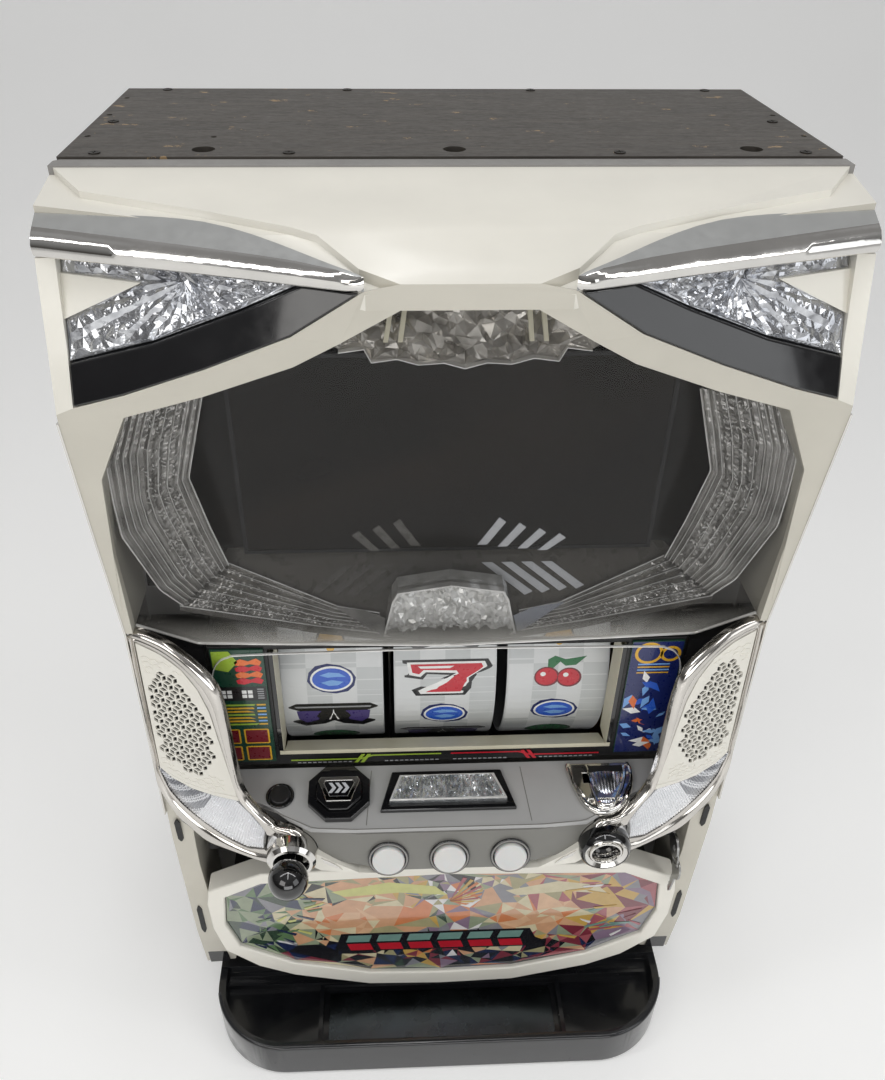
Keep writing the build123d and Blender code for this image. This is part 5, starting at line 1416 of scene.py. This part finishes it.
wing_lamps()
light_guides()
crystals()
screen_details()
side_frames()
grilles()
side_lamps()
reel_strips()
printed_panels()
trim_prints()
bet_button_details()
push_button_details()
inlet_details()
deck_rings()
deck_trim()
lower_art()
leg_parts()
keys()
screws()
tray_ridges()

# ---------------------------------------------------------------- camera, floor and lights
CAMERA_PLACE = (-0.04366, -0.60408, 0.95490)  # m
CAMERA_TURN = (-0.04892, 0.63269, 0.01170)  # yaw, pitch and roll in radians
CAMERA_LENS, CAMERA_SHIFT = 31.39, (0.01447, 0.00455)


def make_camera():
    """The camera that the photograph was taken from."""
    yaw, pitch, roll = CAMERA_TURN
    forward = Vector((-math.sin(yaw) * math.cos(pitch), math.cos(yaw) * math.cos(pitch), -math.sin(pitch)))
    flat_right = Vector((math.cos(yaw), math.sin(yaw), 0))
    up = flat_right.cross(forward)
    right = math.cos(roll) * flat_right + math.sin(roll) * up
    up = math.cos(roll) * up - math.sin(roll) * flat_right
    data = bpy.data.cameras.new("camera")
    data.sensor_width = 36
    data.lens = CAMERA_LENS
    data.shift_x, data.shift_y = CAMERA_SHIFT
    data.clip_start = 0.01
    cam = bpy.data.objects.new("camera", data)
    bpy.context.scene.collection.objects.link(cam)
    rows = [(right[i], up[i], -forward[i], CAMERA_PLACE[i]) for i in range(3)]
    cam.matrix_world = Matrix(rows + [(0, 0, 0, 1)])
    bpy.context.scene.camera = cam


def area_light(name, place, aim, size, power, colour=(1, 1, 1)):
    """A rectangular light turned towards a point."""
    data = bpy.data.lights.new(name, "AREA")
    data.shape = "RECTANGLE"
    data.size, data.size_y = size
    data.energy = power
    data.color = colour
    lamp = bpy.data.objects.new(name, data)
    bpy.context.scene.collection.objects.link(lamp)
    lamp.location = place
    lamp.rotation_mode = "QUATERNION"
    lamp.rotation_quaternion = (Vector(aim) - Vector(place)).to_track_quat("-Z", "Y")


def studio():
    """Pale floor that curves up behind the object, a dim room around it and six area lights."""
    floor_paint = plain("floor_paint", (0.9, 0.9, 0.89, 1), 0.6, 0.01, 3, 80, 0.02,
                        Emission_Color=(1, 1, 1, 1), Emission_Strength=0.2)
    bm = bmesh.new()
    reach, wall, bend = 12.0, 2.4, 1.2
    angles = [math.radians(9 * k) for k in range(1, 11)]
    curve = [(wall + bend * math.sin(a), bend - bend * math.cos(a)) for a in angles]
    profile = [(-reach, 0.0), (wall, 0.0), *curve, (3.6, 7.0)]
    edge = [[bm.verts.new((x, y, z)) for y, z in profile] for x in (-reach, reach)]
    for i in range(len(profile) - 1):
        bm.faces.new((edge[0][i], edge[1][i], edge[1][i + 1], edge[0][i + 1])).smooth = True
    mesh = bpy.data.meshes.new("floor")
    bm.to_mesh(mesh)
    bm.free()
    mesh.materials.append(floor_paint)
    floor = bpy.data.objects.new("floor", mesh)
    bpy.context.scene.collection.objects.link(floor)
    world = bpy.data.worlds.new("studio")
    bpy.context.scene.world = world
    w = Nodes(world, "Background", "Generated")
    sky = w.ramp(w.span(w.height(), 0.0, 1.0, -1.0, 1.0), [
        (0.45, (0.55, 0.54, 0.52, 1)), (0.55, (0.22, 0.21, 0.2, 1)), (0.68, (0.5, 0.5, 0.5, 1)),
        (0.85, (0.95, 0.95, 0.96, 1))])
    room = w.ramp(w.noise(2.6, 1.0, None, 0.5), [(0.44, (0.8, 0.79, 0.78, 1)), (0.52, (1.0, 1.0, 1.0, 1))])
    w.set(Color=w.mix(1.0, sky, room, "MULTIPLY"), Strength=0.36)
    target = (0, -0.05, 0.45)
    for name, x, y, z in (("tube_a", -0.75, -0.3, 2.3), ("tube_b", 0.0, -0.5, 2.4),
                          ("tube_c", 0.75, -0.3, 2.3)):
        area_light(name, (x, y, z), target, (0.16, 1.8), 5.5)
    area_light("key_soft", (-1.3, -2.1, 1.7), target, (1.4, 1.1), 13, (1.0, 0.98, 0.95))
    area_light("fill_soft", (1.7, -1.5, 1.2), target, (1.2, 1.2), 7, (0.96, 0.98, 1.0))
    area_light("low_front", (0.1, -2.4, 0.7), (0, 0, 0.15), (1.8, 0.7), 12)
    bpy.context.scene.view_settings.view_transform = "Standard"


make_camera()
studio()
